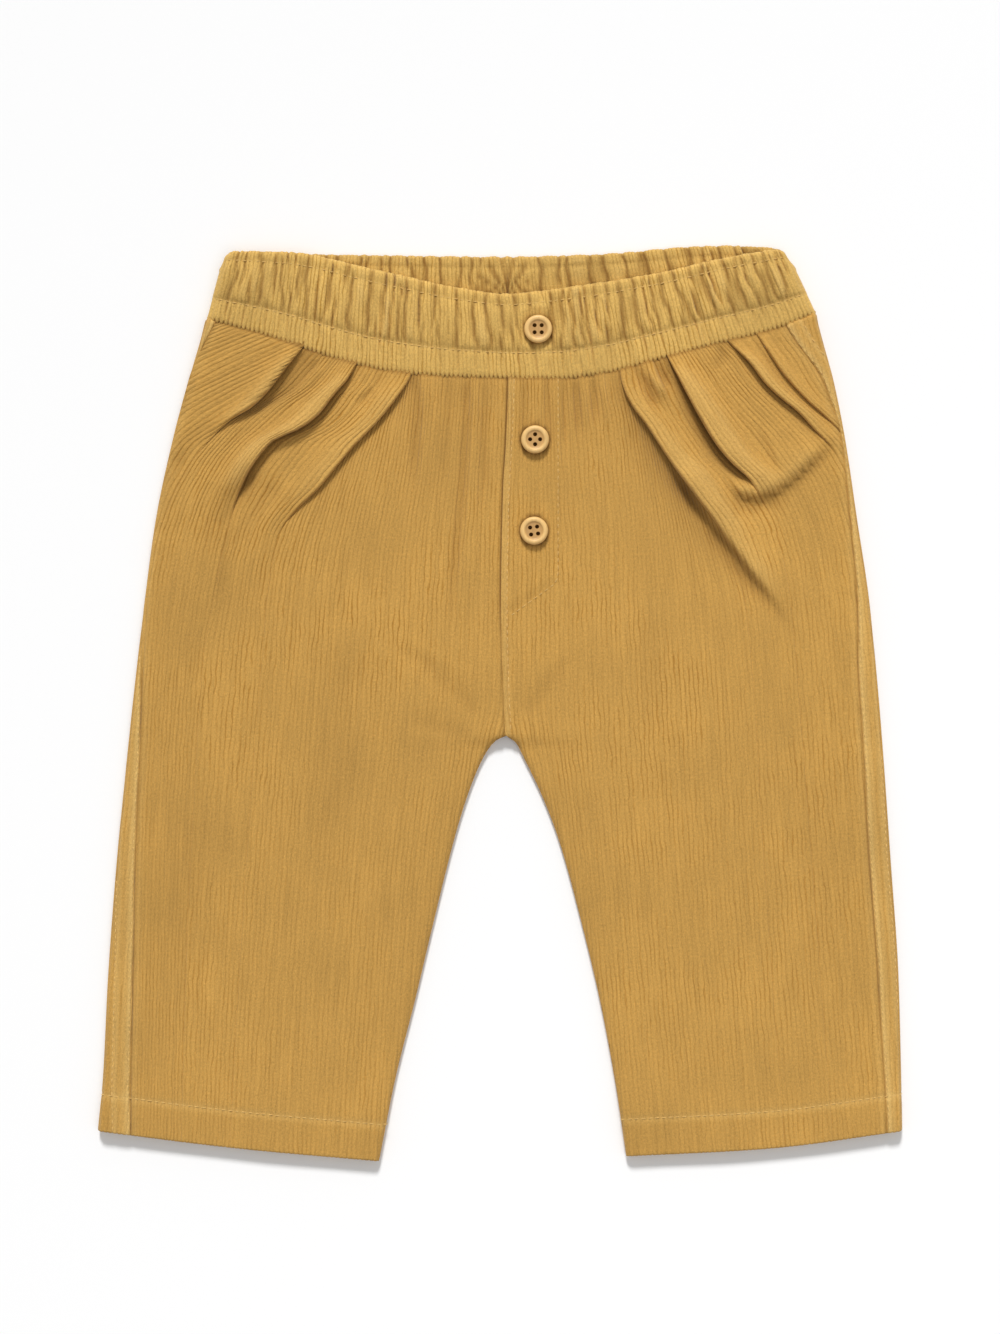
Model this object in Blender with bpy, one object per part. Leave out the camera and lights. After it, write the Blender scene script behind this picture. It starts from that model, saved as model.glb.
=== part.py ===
# Baby's pull-on trousers in fine corduroy, lying flat with the front up.
#
# Every size is in millimetres and is scaled to metres when a mesh is made.
# +X is towards the wearer's left, +Y towards the waist, +Z up from the surface below.
# Each half of the trousers is worked out in "across", the distance outwards from the
# middle line, so one set of functions makes both halves.

import math

import bmesh
import bpy
import numpy as np

MM = 0.001

# ---- cloth
CLOTH = 1.1                # one layer of corduroy
HEM_CLOTH = 2.1            # the hem is two layers
SEAM_CLOTH = 2.2           # the panels hold their seam allowance below the waistband
SEAM_GAP = 0.3             # between the faces of two pieces that are sewn together
SIDE_SEAM_GAP = 0.4        # the same where the seam turns over the folded edge
FOLD_ROUND = 2.4           # how far in from a folded edge the cloth takes to come level
HEM_DEPTH = 16.0
STRIP_RAISE = 0.6          # the back panel's strip on the front, over its seam allowance
SEAM_DIP = 0.35            # how far a panel's face drops at a seam
SEAM_DIP_REACH = (0.2, 1.6)
HEM_STITCH_HEIGHT = 14.6
HEM_STITCH_DIP = 0.3
HEM_STITCH_WIDTH = 0.9
ALLOWANCE_REACH = (9, 22)  # the seam allowance below the waistband thins out between these

# ---- waistband
BAND_WALL = 2.5            # two layers of cloth with the elastic between
BAND_BACK_WALL = 2.3
BAND_CLEARANCE = 0.4       # front band over the back band
FRONT_GATHERS = 45
BACK_GATHERS = 42
POINTS_PER_GATHER = 3
FRONT_GATHER_DEPTH = 1.5
BACK_GATHER_DEPTH = 1.1
BAND_EDGE_RISE = (157, 170, 0.6)   # the band's ends stand higher between these heights

# ---- rows of points down the panels
ROWS_BELOW_TOP = (0.0, 1.6, 5.0)
ROWS_ABOVE_HEM = (15.6, 13.6, 1.0, 0.0)
FREE_BELOW_TOP = 9.0
FREE_ABOVE_HEM = 21.0
HIP_ROWS = 17
LEG_ROWS = 8
LEG_ROWS_CLOSE_UP = 1.5     # power that draws the leg's rows towards the crotch
HIP_ROWS_CLOSE_UP = 1.35    # and the hip's rows towards the waist
HIP_SHARE = 0.475          # of a panel's free length, above the crotch

# ---- columns of points beside a panel's edges, as distances in from the edge
SIDE_COLUMNS = (0.0, 0.9, 2.2)
INNER_COLUMNS = (0.0, 0.5, 1.4, 3.2)
FIRST_PLEAT_COLUMN = 4
LEAST_COLUMN = 0.35        # columns never come closer than this
STRIP_COLUMNS = 7          # of a back panel's strip on the front
UNDER_COLUMNS = 6          # of its flat part on the surface

# ---- buttons
BUTTON_RADIUS = 5.6
BUTTON_THICKNESS = 2.4
BUTTON_DISH_RADIUS = 3.5
BUTTON_HOLE_RADIUS = 0.75
BUTTON_HOLE_SPACING = 2.8
BUTTON_SIDES = 24

# ---- the outline of each half, one row for each height
# height, across of the outer edge, side seam's distance in from that edge
RIGHT_SIDE = (
    (158.0, 116.6, 5.4),
    (153.4, 118.0, 4.8),
    (145.4, 120.0, 2.6),
    (136.0, 122.8, 0.6),
    (129.4, 124.8, 0.0),
    (105.4, 131.2, 0.0),
    (73.4, 138.0, 0.0),
    (41.4, 142.4, 0.0),
    (9.4, 146.2, 2.6),
    (-14.6, 148.8, 4.8),
    (-62.6, 153.6, 7.6),
    (-110.6, 157.2, 10.2),
    (-150.6, 159.2, 11.2),
    (-172.0, 161.2, 13.4),
    (-186.0, 162.2, 13.6),
)
LEFT_SIDE = (
    (162.0, 126.0, 16.5),
    (153.4, 127.2, 14.0),
    (145.4, 129.2, 11.5),
    (129.4, 133.6, 4.6),
    (105.4, 138.4, 1.8),
    (73.4, 143.2, 3.0),
    (41.4, 148.0, 5.0),
    (9.4, 151.2, 7.6),
    (-14.6, 153.2, 8.0),
    (-62.6, 156.6, 8.8),
    (-110.6, 159.8, 8.4),
    (-150.6, 160.8, 7.0),
    (-172.0, 161.2, 6.4),
    (-186.0, 161.4, 6.2),
)
# height, across of the leg's inner edge, from the crotch down
RIGHT_INSEAM = (
    (-13.0, -1.9),
    (-15.0, 1.9),
    (-22.6, 7.2),
    (-38.6, 13.6),
    (-54.6, 18.4),
    (-86.6, 26.4),
    (-118.6, 34.0),
    (-150.6, 42.0),
    (-184.0, 48.6),
)
LEFT_INSEAM = (
    (-13.0, 2.2),
    (-15.0, 5.8),
    (-22.6, 10.0),
    (-38.6, 17.6),
    (-54.6, 23.6),
    (-86.6, 32.4),
    (-118.6, 40.0),
    (-150.6, 46.0),
    (-184.0, 51.0),
)
# height, x of the centre front and back seam
CENTRE_SEAM = (
    (150.0, 3.0),
    (130.0, 3.2),
    (105.0, 2.4),
    (85.0, 1.2),
    (40.0, 0.4),
    (10.0, 1.0),
    (-13.0, 2.05),
)
CROTCH_HEIGHT = -13.0

# ---- the waist: x, height
FRONT_TOP = (
    (-111.0, 181.0),
    (-84.0, 180.4),
    (-51.6, 173.8),
    (-15.2, 166.0),
    (2.0, 163.8),
    (22.4, 165.8),
    (63.6, 172.2),
    (90.0, 178.2),
    (115.0, 182.4),
)
FRONT_SEAM = (
    (-118.4, 154.0),
    (-93.2, 147.0),
    (-64.0, 137.4),
    (-42.8, 132.6),
    (-15.2, 130.4),
    (22.4, 129.7),
    (43.2, 132.2),
    (59.2, 136.4),
    (81.6, 142.4),
    (109.2, 149.4),
    (127.4, 156.4),
)
BACK_TOP = (
    (-111.0, 181.0),
    (-60.0, 179.8),
    (0.0, 179.0),
    (40.0, 180.0),
    (80.0, 183.2),
    (92.0, 183.4),
    (115.0, 182.4),
)
BACK_SEAM = (
    (-118.4, 154.0),
    (-60.0, 148.4),
    (3.0, 146.0),
    (66.0, 149.8),
    (127.4, 156.4),
)
BAND_ENDS_TOP = (-110.4, 114.4)
BAND_ENDS_BOTTOM = (-117.6, 126.7)

# ---- the hems: x, height
RIGHT_HEM = ((-161.6, -171.0), (-105.0, -178.0), (-48.0, -183.2))
LEFT_HEM = ((50.0, -181.2), (106.0, -178.2), (161.6, -171.0))

# ---- thickness of the whole garment, one row for each height
# height, at a folded edge, in the middle of the cloth
THICKNESS = (
    (158.0, 5.7, 6.4),
    (140.0, 5.3, 6.2),
    (115.0, 4.4, 5.6),
    (80.0, 3.7, 5.1),
    (30.0, 3.3, 4.8),
    (-30.0, 3.2, 4.5),
    (-120.0, 3.3, 4.4),
    (-150.0, 3.8, 4.5),
    (-166.0, 4.8, 5.0),
    (-186.0, 4.8, 4.9),
)
EDGE_SPREAD = 16.0         # how far in the cloth takes to rise from the edge to the middle

# ---- the pleats, from the outside in, each one row for each section along its lip
# across, height, lift of the lip, width of the roll behind it, width of the pocket before it
RIGHT_PLEATS = (
    (
        (79.6, 141.0, 1.0, 5.0, 8.8),
        (91.6, 125.4, 2.2, 6.0, 8.4),
        (99.2, 118.2, 2.0, 6.0, 5.6),
        (106.4, 114.0, 1.0, 5.0, 2.6),
        (117.0, 104.0, 0.0, 4.0, 2.4),
        (124.0, 75.0, 0.0, 4.0, 2.4),
        (128.0, 30.0, 0.0, 4.0, 2.4),
    ),
    (
        (56.8, 136.0, 1.2, 6.0, 1.0),
        (65.6, 124.2, 2.6, 7.0, 1.6),
        (81.2, 108.6, 3.2, 8.0, 1.2),
        (96.0, 99.0, 3.2, 8.0, 1.2),
        (105.6, 81.4, 2.2, 7.0, 2.4),
        (111.2, 57.4, 0.0, 6.0, 3.0),
        (115.0, 30.0, 0.0, 6.0, 3.0),
    ),
    (
        (36.0, 131.8, 0.8, 7.0, 2.6),
        (48.4, 113.0, 1.8, 9.0, 3.4),
        (64.8, 95.4, 2.2, 10.0, 4.0),
        (80.8, 77.8, 1.4, 9.0, 4.6),
        (90.0, 61.4, 0.0, 8.0, 4.6),
        (96.0, 30.0, 0.0, 8.0, 4.6),
    ),
)
LEFT_PLEATS = (
    (
        (102.8, 148.0, 0.8, 3.0, 2.0),
        (112.8, 132.2, 1.2, 4.0, 2.0),
        (122.8, 121.0, 1.0, 4.0, 2.0),
        (130.0, 111.0, 0.0, 3.0, 1.6),
        (137.0, 75.0, 0.0, 3.0, 1.6),
        (142.0, 30.0, 0.0, 3.0, 1.6),
    ),
    (
        (91.0, 145.0, 1.0, 4.0, 1.4),
        (99.6, 136.2, 2.0, 4.5, 1.8),
        (113.2, 120.6, 2.0, 5.0, 2.0),
        (122.0, 109.0, 0.9, 4.0, 2.0),
        (126.0, 98.0, 0.0, 4.0, 2.0),
        (130.0, 75.0, 0.0, 4.0, 2.0),
        (134.0, 30.0, 0.0, 4.0, 2.0),
    ),
    (
        (68.6, 139.5, 1.0, 6.0, 1.4),
        (75.6, 124.0, 2.4, 8.0, 1.4),
        (84.6, 107.4, 3.2, 9.0, 1.2),
        (92.8, 95.8, 2.8, 9.0, 1.8),
        (106.0, 84.0, 1.0, 7.0, 2.6),
        (113.0, 70.0, 0.0, 5.0, 2.6),
        (122.0, 30.0, 0.0, 5.0, 2.6),
    ),
    (
        (48.0, 133.0, 0.8, 6.0, 3.0),
        (57.0, 113.8, 1.8, 8.0, 4.0),
        (70.0, 93.0, 2.4, 9.0, 5.0),
        (89.6, 67.4, 1.6, 9.0, 5.6),
        (105.0, 46.0, 0.3, 7.0, 5.6),
        (110.0, 30.0, 0.0, 6.0, 5.6),
    ),
)
PLEAT_COLUMNS = (
    # place across the pleat in roll widths (outwards) or pocket widths (inwards), share of the lift
    ("roll", 1.7, 0.12),
    ("roll", 0.75, 0.92),
    ("roll", 0.18, 1.0),
    ("lip", 0.0, 0.62),
    ("pocket", 0.45, -0.02),
    ("pocket", 1.6, 0.0),
)
PLEATS_END = (60.0, 5.0)   # the cloth's columns leave the pleats and spread evenly between these
SMILE = ((92.0, 88.0), (110.0, 82.0), (130.0, 100.0))  # fold that sags between two pleats, left
SMILE_DEPTH = 1.0
SMILE_RIDGE = (4.0, 3.5)   # place above the sagging line, width
SMILE_TROUGH = (-1.5, 2.5)

# ---- the mock fly, on the wearer's left front: its stitches run straight down beside the
# centre seam, then slant in to meet it
FLY_RAISE = 0.8
FLY_WIDTH = 22.8
FLY_STRAIGHT = 50.0        # height where the slant begins
FLY_END = 36.0             # and where it meets the seam

# ---- places of the buttons: name, x, height, turn of the four holes
BUTTONS = (
    ("button_waist", 15.2, 149.4, 0.0),
    ("button_fly_top", 14.0, 105.4, 45.0),
    ("button_fly_bottom", 13.6, 69.0, 8.0),
)

# ---- colours: base colour, roughness
CORDUROY = ((0.54, 0.30, 0.075), 0.9)
CORDUROY_BAND = ((0.57, 0.34, 0.09), 0.9)
BUTTON_COLOUR = ((0.64, 0.40, 0.17), 0.55)


def curve(rows, column=1):
    """A smooth curve through a table's rows that never overshoots between them."""
    table = sorted((row[0], row[column]) for row in rows)
    at, value = np.array(table, float).T
    step = np.diff(at)
    slope = np.diff(value) / step
    turn = np.zeros_like(value)
    same = slope[:-1] * slope[1:] > 0
    before, after = slope[:-1][same], slope[1:][same]
    turn[1:-1][same] = 2 * before * after / (before + after)
    turn[0], turn[-1] = slope[0], slope[-1]

    def read(place):
        place = np.clip(place, at[0], at[-1])
        i = np.clip(np.searchsorted(at, place) - 1, 0, len(step) - 1)
        t = (place - at[i]) / step[i]
        return (
            value[i] * (1 + 2 * t) * (1 - t) ** 2
            + value[i + 1] * (3 - 2 * t) * t * t
            + step[i] * t * (1 - t) * (turn[i] * (1 - t) - turn[i + 1] * t)
        )

    return read


def ease(value, low, high):
    t = np.clip((np.asarray(value, float) - low) / (high - low), 0, 1)
    return t * t * (3 - 2 * t)


def rounding(inwards, reach):
    """0 at a folded edge, rising along a quarter ellipse to 1 at reach."""
    t = np.clip(inwards / reach, 0, 1)
    return np.sqrt(np.maximum(0, 1 - (1 - t) ** 2))


front_seam, back_seam = curve(FRONT_SEAM), curve(BACK_SEAM)
front_top, back_top = curve(FRONT_TOP), curve(BACK_TOP)
centre_seam = curve(CENTRE_SEAM)
edge_thickness, middle_thickness = curve(THICKNESS, 1), curve(THICKNESS, 2)


class Half:
    """One half of the trousers: its outline, its pleats and its thickness."""

    def __init__(self, side, outline, inseam, hem, pleats):
        self.side = side
        self.edge, self.seam_in = curve(outline, 1), curve(outline, 2)
        self.inseam = curve(inseam)
        self.hem_line = curve(hem)
        self.pleats = pleats

    def inner(self, height):
        """Across of the centre seam, or below the crotch of the leg's inner edge."""
        seam = self.side * centre_seam(height) + SEAM_GAP / 2
        return np.where(height >= CROTCH_HEIGHT, seam, np.maximum(self.inseam(height), seam))

    def hem(self, across):
        return self.hem_line(self.side * across)

    def top(self, across, seam):
        return seam(self.side * across) - SEAM_GAP / 2

    def thickness(self, across, height):
        """Height of the cloth's upper face above the surface, without its pleats."""
        from_edge = np.maximum(self.edge(height) - across, 0)
        from_inner = np.maximum(across - self.inner(height), 0)
        rise = 1 - np.exp(-from_edge / EDGE_SPREAD)
        rise = rise * (1 - leg_share(height) * np.exp(-from_inner / EDGE_SPREAD))
        low, high = edge_thickness(height), middle_thickness(height)
        return low + (high - low) * rise

    def wall(self, across, height, seam):
        """Thickness of the cloth itself: more at the hem and below the waistband."""
        above_hem = height - self.hem(across)
        below_seam = seam(self.side * across) - height
        hem = (HEM_CLOTH - CLOTH) * (1 - ease(above_hem, HEM_DEPTH, HEM_DEPTH + 1.5))
        allowance = (SEAM_CLOTH - CLOTH) * (1 - ease(below_seam, *ALLOWANCE_REACH))
        return CLOTH + hem + allowance


def leg_share(height):
    """0 where the halves join at the centre seam, 1 where the legs have an inner edge."""
    return 1 - ease(height, CROTCH_HEIGHT - 8, CROTCH_HEIGHT + 8)


RIGHT = Half(-1, RIGHT_SIDE, RIGHT_INSEAM, RIGHT_HEM, RIGHT_PLEATS)
LEFT = Half(1, LEFT_SIDE, LEFT_INSEAM, LEFT_HEM, LEFT_PLEATS)


def rows_down(tops, hems):
    """Heights of every row in every column, from the waist seam to the hem.

    The last column runs down the centre seam, so one of its rows meets the crotch.
    """
    free_top, free_low = tops - FREE_BELOW_TOP, hems + FREE_ABOVE_HEM
    at_crotch = (free_top[-1] - CROTCH_HEIGHT) / (free_top[-1] - free_low[-1])
    inwards = np.linspace(0, 1, len(tops)) ** 2
    crotch = HIP_SHARE + (at_crotch - HIP_SHARE) * inwards
    hip = crotch * np.linspace(0, 1, HIP_ROWS)[:, None] ** HIP_ROWS_CLOSE_UP
    down = np.linspace(0, 1, LEG_ROWS + 1)[1:, None] ** LEG_ROWS_CLOSE_UP
    leg = crotch + (1 - crotch) * down
    share = np.vstack([hip, leg])
    return np.vstack(
        [tops - down for down in ROWS_BELOW_TOP]
        + [free_top + (free_low - free_top) * share]
        + [hems + up for up in ROWS_ABOVE_HEM]
    )


def fill_between(known, count):
    """Columns spread evenly between the known ones, which are {index: values of each row}."""
    indices = sorted(known)
    filled = [None] * count
    for left, right in zip(indices, indices[1:]):
        for i in range(left, right + 1):
            t = (i - left) / (right - left)
            filled[i] = known[left] * (1 - t) + known[right] * t
    return np.array(filled).T


def front_columns(half, heights):
    """Across of every column at the given heights, which hold one column for each."""
    count = heights.shape[1]
    known = {}
    for i, inwards in enumerate(SIDE_COLUMNS):
        h = heights[:, i]
        known[i] = half.edge(h) - half.seam_in(h) - SIDE_SEAM_GAP / 2 - inwards
    place = FIRST_PLEAT_COLUMN
    for pleat in half.pleats:
        across, roll, pocket = (curve([(r[1], r[c]) for r in pleat]) for c in (0, 3, 4))
        for kind, share, _ in PLEAT_COLUMNS:
            h = heights[:, place]
            width = -pocket(h) if kind == "pocket" else roll(h)
            known[place] = across(h) + share * width
            place += 1
        place += 1
    for i, inwards in enumerate(INNER_COLUMNS):
        known[count - 1 - i] = half.inner(heights[:, count - 1 - i]) + inwards
    spread = fill_between(known, count)
    free = slice(len(SIDE_COLUMNS) - 1, count - len(INNER_COLUMNS) + 1)
    uneven = spread[:, free]
    outer, inner = uneven[:, :1], uneven[:, -1:]
    even = outer + (inner - outer) * np.linspace(0, 1, uneven.shape[1])
    legwards = 1 - ease(heights[:, free], PLEATS_END[1], PLEATS_END[0])
    spread[:, free] = uneven * (1 - legwards) + even * legwards
    return keep_order(spread)


def keep_order(across):
    """Each column stays a little inside the one before it."""
    for i in range(1, across.shape[1]):
        across[:, i] = np.minimum(across[:, i], across[:, i - 1] - LEAST_COLUMN)
    return across


def pleat_lift(half, heights, across):
    """How far the pleats raise the cloth's outer face, point by point."""
    lift = np.zeros_like(across)
    place = FIRST_PLEAT_COLUMN
    for pleat in half.pleats:
        raised = curve([(r[1], r[2]) for r in pleat])
        for _, _, share in PLEAT_COLUMNS:
            lift[:, place] = share * raised(heights[:, place])
            place += 1
        place += 1
    return lift


def smile_lift(across, heights):
    """The soft fold that hangs between the two outer pleats of the wearer's left front."""
    (x0, y0), (x1, y1), (x2, y2) = SMILE
    sag = curve(((x0, y0), (x1, y1), (x2, y2)))(across)
    inside = ease(across, x0 - 8, x0 + 6) * (1 - ease(across, x2 - 4, x2 + 8))
    above = heights - sag
    ridge, trough = (
        np.exp(-(((above - place) / width) ** 2)) for place, width in (SMILE_RIDGE, SMILE_TROUGH)
    )
    return SMILE_DEPTH * inside * (ridge - 0.5 * trough)


def fly_lift(across, heights):
    """The mock fly's extra layer, inside its J-shaped row of stitches."""
    seam = centre_seam(heights)
    slant = np.clip((heights - FLY_END) / (FLY_STRAIGHT - FLY_END), 0, 1)
    width = FLY_WIDTH * slant
    return FLY_RAISE * (1 - ease(across - seam, width - 2.2, width + 0.8)) * ease(slant, 0, 0.2)


def wall_mesh(name, fine, plain, kept, colour):
    """A closed wall between two grids of points, joined all round at their rims.

    Both grids have the same rows. The plain one has only the kept columns.
    """
    mesh = bpy.data.meshes.new(name)
    build = bmesh.new()
    grids = []
    for grid in (fine, plain[:, kept]):
        grids.append([[build.verts.new(point * MM) for point in row] for row in grid])

    def sheet(grid):
        for near, far in zip(grid, grid[1:]):
            for i in range(len(near) - 1):
                build.faces.new((near[i], near[i + 1], far[i + 1], far[i]))

    def rim(first, second, at):
        for j, (start, stop) in enumerate(zip(at, at[1:])):
            middle = (start + stop) // 2
            for i in range(start, middle):
                build.faces.new((first[i], first[i + 1], second[j]))
            build.faces.new((first[middle], second[j + 1], second[j]))
            for i in range(middle, stop):
                build.faces.new((first[i], first[i + 1], second[j + 1]))

    top, low = grids
    sheet(top)
    sheet(low)
    rim(top[0], low[0], kept)
    rim(top[-1], low[-1], kept)
    for end in (0, -1):
        rim([row[end] for row in top], [row[end] for row in low], range(len(top)))
    bmesh.ops.recalc_face_normals(build, faces=build.faces)
    bmesh.ops.triangulate(build, faces=build.faces)
    build.to_mesh(mesh)
    build.free()
    mesh.shade_smooth()
    mesh.set_sharp_from_angle(angle=math.radians(50))
    return add_object(name, mesh, colour)


def add_object(name, mesh, colour):
    material = bpy.data.materials.new(name)
    material.use_nodes = True
    shader = material.node_tree.nodes["Principled BSDF"]
    (red, green, blue), roughness = colour
    shader.inputs["Base Color"].default_value = (red, green, blue, 1)
    shader.inputs["Roughness"].default_value = roughness
    shader.inputs["Metallic"].default_value = 0
    mesh.materials.append(material)
    piece = bpy.data.objects.new(name, mesh)
    bpy.context.scene.collection.objects.link(piece)
    return piece


def front_grid(half):
    """(across, heights) of every point of a front panel's outer face."""
    count = 4 + len(half.pleats) * (len(PLEAT_COLUMNS) + 1) + 6
    count += 1 - count % 2
    across = np.tile(np.linspace(120, 0, count), (2, 1))
    tops = np.full(count, 140.0)
    hems = np.full(count, -178.0)
    for _ in range(6):
        heights = rows_down(tops, hems)
        across = front_columns(half, heights)
        tops, hems = half.top(across[0], front_seam), half.hem(across[-1])
    return across, heights


def every_second(count):
    return list(range(0, count, 2))


def front_panel(name, half, fly):
    across, heights = front_grid(half)
    level = half.thickness(across, heights)
    split = edge_thickness(heights) / 2 + SEAM_GAP / 2
    wall = half.wall(across, heights, front_seam)
    lift = pleat_lift(half, heights, across)
    if fly:
        lift += smile_lift(across, heights) + fly_lift(across, heights)
    to_seam = half.edge(heights) - half.seam_in(heights) - across
    below_band = front_seam(half.side * across) - heights
    for distance in (to_seam, below_band):
        lift -= SEAM_DIP * (1 - ease(distance, *SEAM_DIP_REACH))
    above_stitches = heights - half.hem(across) - HEM_STITCH_HEIGHT
    lift -= HEM_STITCH_DIP * np.exp(-((above_stitches / HEM_STITCH_WIDTH) ** 2))

    from_edge = half.edge(heights) - across
    from_inner = across - half.inner(heights)
    legs = leg_share(heights)
    outer_round = rounding(from_edge, FOLD_ROUND)
    inner_round = 1 - legs * (1 - rounding(from_inner, FOLD_ROUND))
    share = outer_round * inner_round
    upper = split + (level + lift - split) * share
    lower = split + (level - wall - split) * share
    turned_outer = wall * np.clip(1 - from_edge / FOLD_ROUND, 0, 1)
    turned_inner = wall * np.clip(1 - from_inner / FOLD_ROUND, 0, 1) * legs
    lower_across = across - turned_outer + turned_inner
    outside = np.stack([half.side * across, heights, upper], axis=-1)
    inside = np.stack([half.side * lower_across, heights, lower], axis=-1)
    return wall_mesh(name, outside, inside, every_second(across.shape[1]), CORDUROY)


def back_panel(name, half):
    """A back panel: from the side seam over the outer fold and along the surface below."""
    strip, flat = STRIP_COLUMNS, UNDER_COLUMNS
    inner_columns = INNER_COLUMNS[::-1]
    count = strip + flat + len(inner_columns)
    along = np.linspace(0, 1, strip)
    across = np.tile(np.linspace(130, 0, count), (2, 1))
    tops, hems = np.full(count, 150.0), np.full(count, -178.0)
    for _ in range(6):
        heights = rows_down(tops, hems)
        quarter = np.pi / 2 * FOLD_ROUND
        seam_in = half.seam_in(heights)
        on_arc = np.arccos(np.clip(1 - seam_in / FOLD_ROUND, 0, 1)) * FOLD_ROUND
        start = np.where(seam_in < FOLD_ROUND, on_arc, quarter + seam_in - FOLD_ROUND)
        start = start - SIDE_SEAM_GAP / 2
        path = np.full_like(heights, -quarter)
        path[:, :strip] = start[:, :strip] * (1 - along) - quarter * along
        past = np.maximum(np.abs(path) - quarter, 0)
        angle = np.clip(path / quarter, -1, 1) * np.pi / 2
        inwards = FOLD_ROUND * (1 - np.cos(angle)) + past
        across = half.edge(heights) - inwards
        inner = half.inner(heights)
        for i, inset in enumerate(inner_columns):
            across[:, strip + flat + i] = inner[:, strip + flat + i] + inset
        first, last = across[:, strip - 1], across[:, strip + flat]
        for i in range(flat):
            t = (i + 1) / (flat + 1)
            across[:, strip + i] = first * (1 - t) + last * t
        upper_side = np.sin(angle)
        upper_side[:, strip:] = -1
        upper_side[:, strip - 1] = -1
        seams = [half.top(across[0], seam) for seam in (front_seam, back_seam)]
        tops = np.where(upper_side[0] > 0.99, seams[0], np.minimum(*seams))
        tops = np.where(upper_side[0] > -0.99, tops, seams[1])
        hems = half.hem(across[-1])
    level = half.thickness(across, heights)
    wall = np.where(
        upper_side > 0,
        half.wall(across, heights, front_seam),
        half.wall(across, heights, back_seam),
    )
    middle = edge_thickness(heights) / 2
    raised = STRIP_RAISE * ease(path, 1.0, 3.6)
    raised[:, strip:] = 0
    upper = middle + upper_side * (np.where(upper_side > 0, level - middle, middle) + raised)
    lower = middle + upper_side * np.where(upper_side > 0, level - middle - wall, middle - wall)
    turned = wall * np.cos(angle)
    turned[:, strip - 1:] = 0
    lower_across = across - turned

    from_inner = across[:, strip:] - half.inner(heights[:, strip:])
    legs = leg_share(heights[:, strip:])
    share = 1 - legs * (1 - rounding(from_inner, FOLD_ROUND))
    split = (middle - SEAM_GAP / 2)[:, strip:]
    upper[:, strip:] = split * (1 - share)
    lower[:, strip:] = split + (wall[:, strip:] - split) * share
    lower_across[:, strip:] += (
        wall[:, strip:] * np.clip(1 - from_inner / FOLD_ROUND, 0, 1) * legs
    )
    upper_across = across + raised * np.cos(angle)
    outside = np.stack([half.side * upper_across, heights, upper], axis=-1)
    inside = np.stack([half.side * lower_across, heights, lower], axis=-1)
    return wall_mesh(name, outside, inside, every_second(count), CORDUROY)


def gather_places(count):
    """Where each point of a gathered row lies, from 0 to 1, and its height share.

    Gathers are uneven: their widths and depths change from one to the next.
    """
    index = np.arange(count)
    widths = 1 + 0.26 * np.sin(2.4 * index) + 0.2 * np.sin(5.1 * index + 1.0)
    depths = 0.78 + 0.22 * np.sin(1.7 * index + 0.5) * np.cos(0.61 * index)
    ends = np.concatenate([[0], np.cumsum(widths)]) / widths.sum()
    places, share = [], []
    for i in index:
        for step in range(POINTS_PER_GATHER):
            t = step / POINTS_PER_GATHER
            places.append(ends[i] + t * (ends[i + 1] - ends[i]))
            share.append(depths[i] * (0.5 - 0.5 * math.cos(2 * math.pi * t)))
    return np.array(places + [1.0]), np.array(share + [0.0])


def band_grid(top, seam, drops, places):
    """(x, height, distance from the nearer end) of a waistband's points."""
    x_top = BAND_ENDS_TOP[0] + (BAND_ENDS_TOP[1] - BAND_ENDS_TOP[0]) * places
    x_low = BAND_ENDS_BOTTOM[0] + (BAND_ENDS_BOTTOM[1] - BAND_ENDS_BOTTOM[0]) * places
    y_top, y_low = top(x_top), seam(x_low) + SEAM_GAP / 2
    drops = np.array(drops)[:, None]
    x = x_top + (x_low - x_top) * drops
    y = y_top + (y_low - y_top) * drops
    left = BAND_ENDS_TOP[0] + (BAND_ENDS_BOTTOM[0] - BAND_ENDS_TOP[0]) * drops
    right = BAND_ENDS_TOP[1] + (BAND_ENDS_BOTTOM[1] - BAND_ENDS_TOP[1]) * drops
    return x, y, np.minimum(x - left, right - x)


# each row of a waistband: share of its depth, rise of its face, share of the gathers' depth
FRONT_BAND_ROWS = (
    (0.0, -1.2, 0.25),
    (0.03, -0.2, 0.5),
    (0.09, 0.25, 0.7),
    (0.16, -0.2, 0.35),
    (0.25, 0.35, 0.9),
    (0.42, 0.6, 1.0),
    (0.6, 0.4, 0.9),
    (0.7, -0.15, 0.4),
    (0.84, 0.1, 0.4),
    (0.97, 0.0, 0.2),
    (1.0, -0.35, 0.1),
)
BACK_BAND_ROWS = (
    (0.0, -0.9, 0.3),
    (0.04, 0.0, 0.6),
    (0.16, -0.1, 0.5),
    (0.3, 0.1, 1.0),
    (0.62, 0.1, 0.9),
    (1.0, -0.2, 0.2),
)


def plain_columns(count):
    """The columns of a waistband's plain face: close at its rounded ends, wide between."""
    ends = (0, 1, 2, 3, 5)
    between = range(9, count - 8, 6)
    return sorted(set(ends) | set(between) | {count - 1 - i for i in ends})


def band_middle(y):
    """Height of the middle of the folded edge, where the two waistbands meet."""
    low, high, rise = BAND_EDGE_RISE
    return (edge_thickness(y) + ease(y, low, high) * rise) / 2


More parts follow.
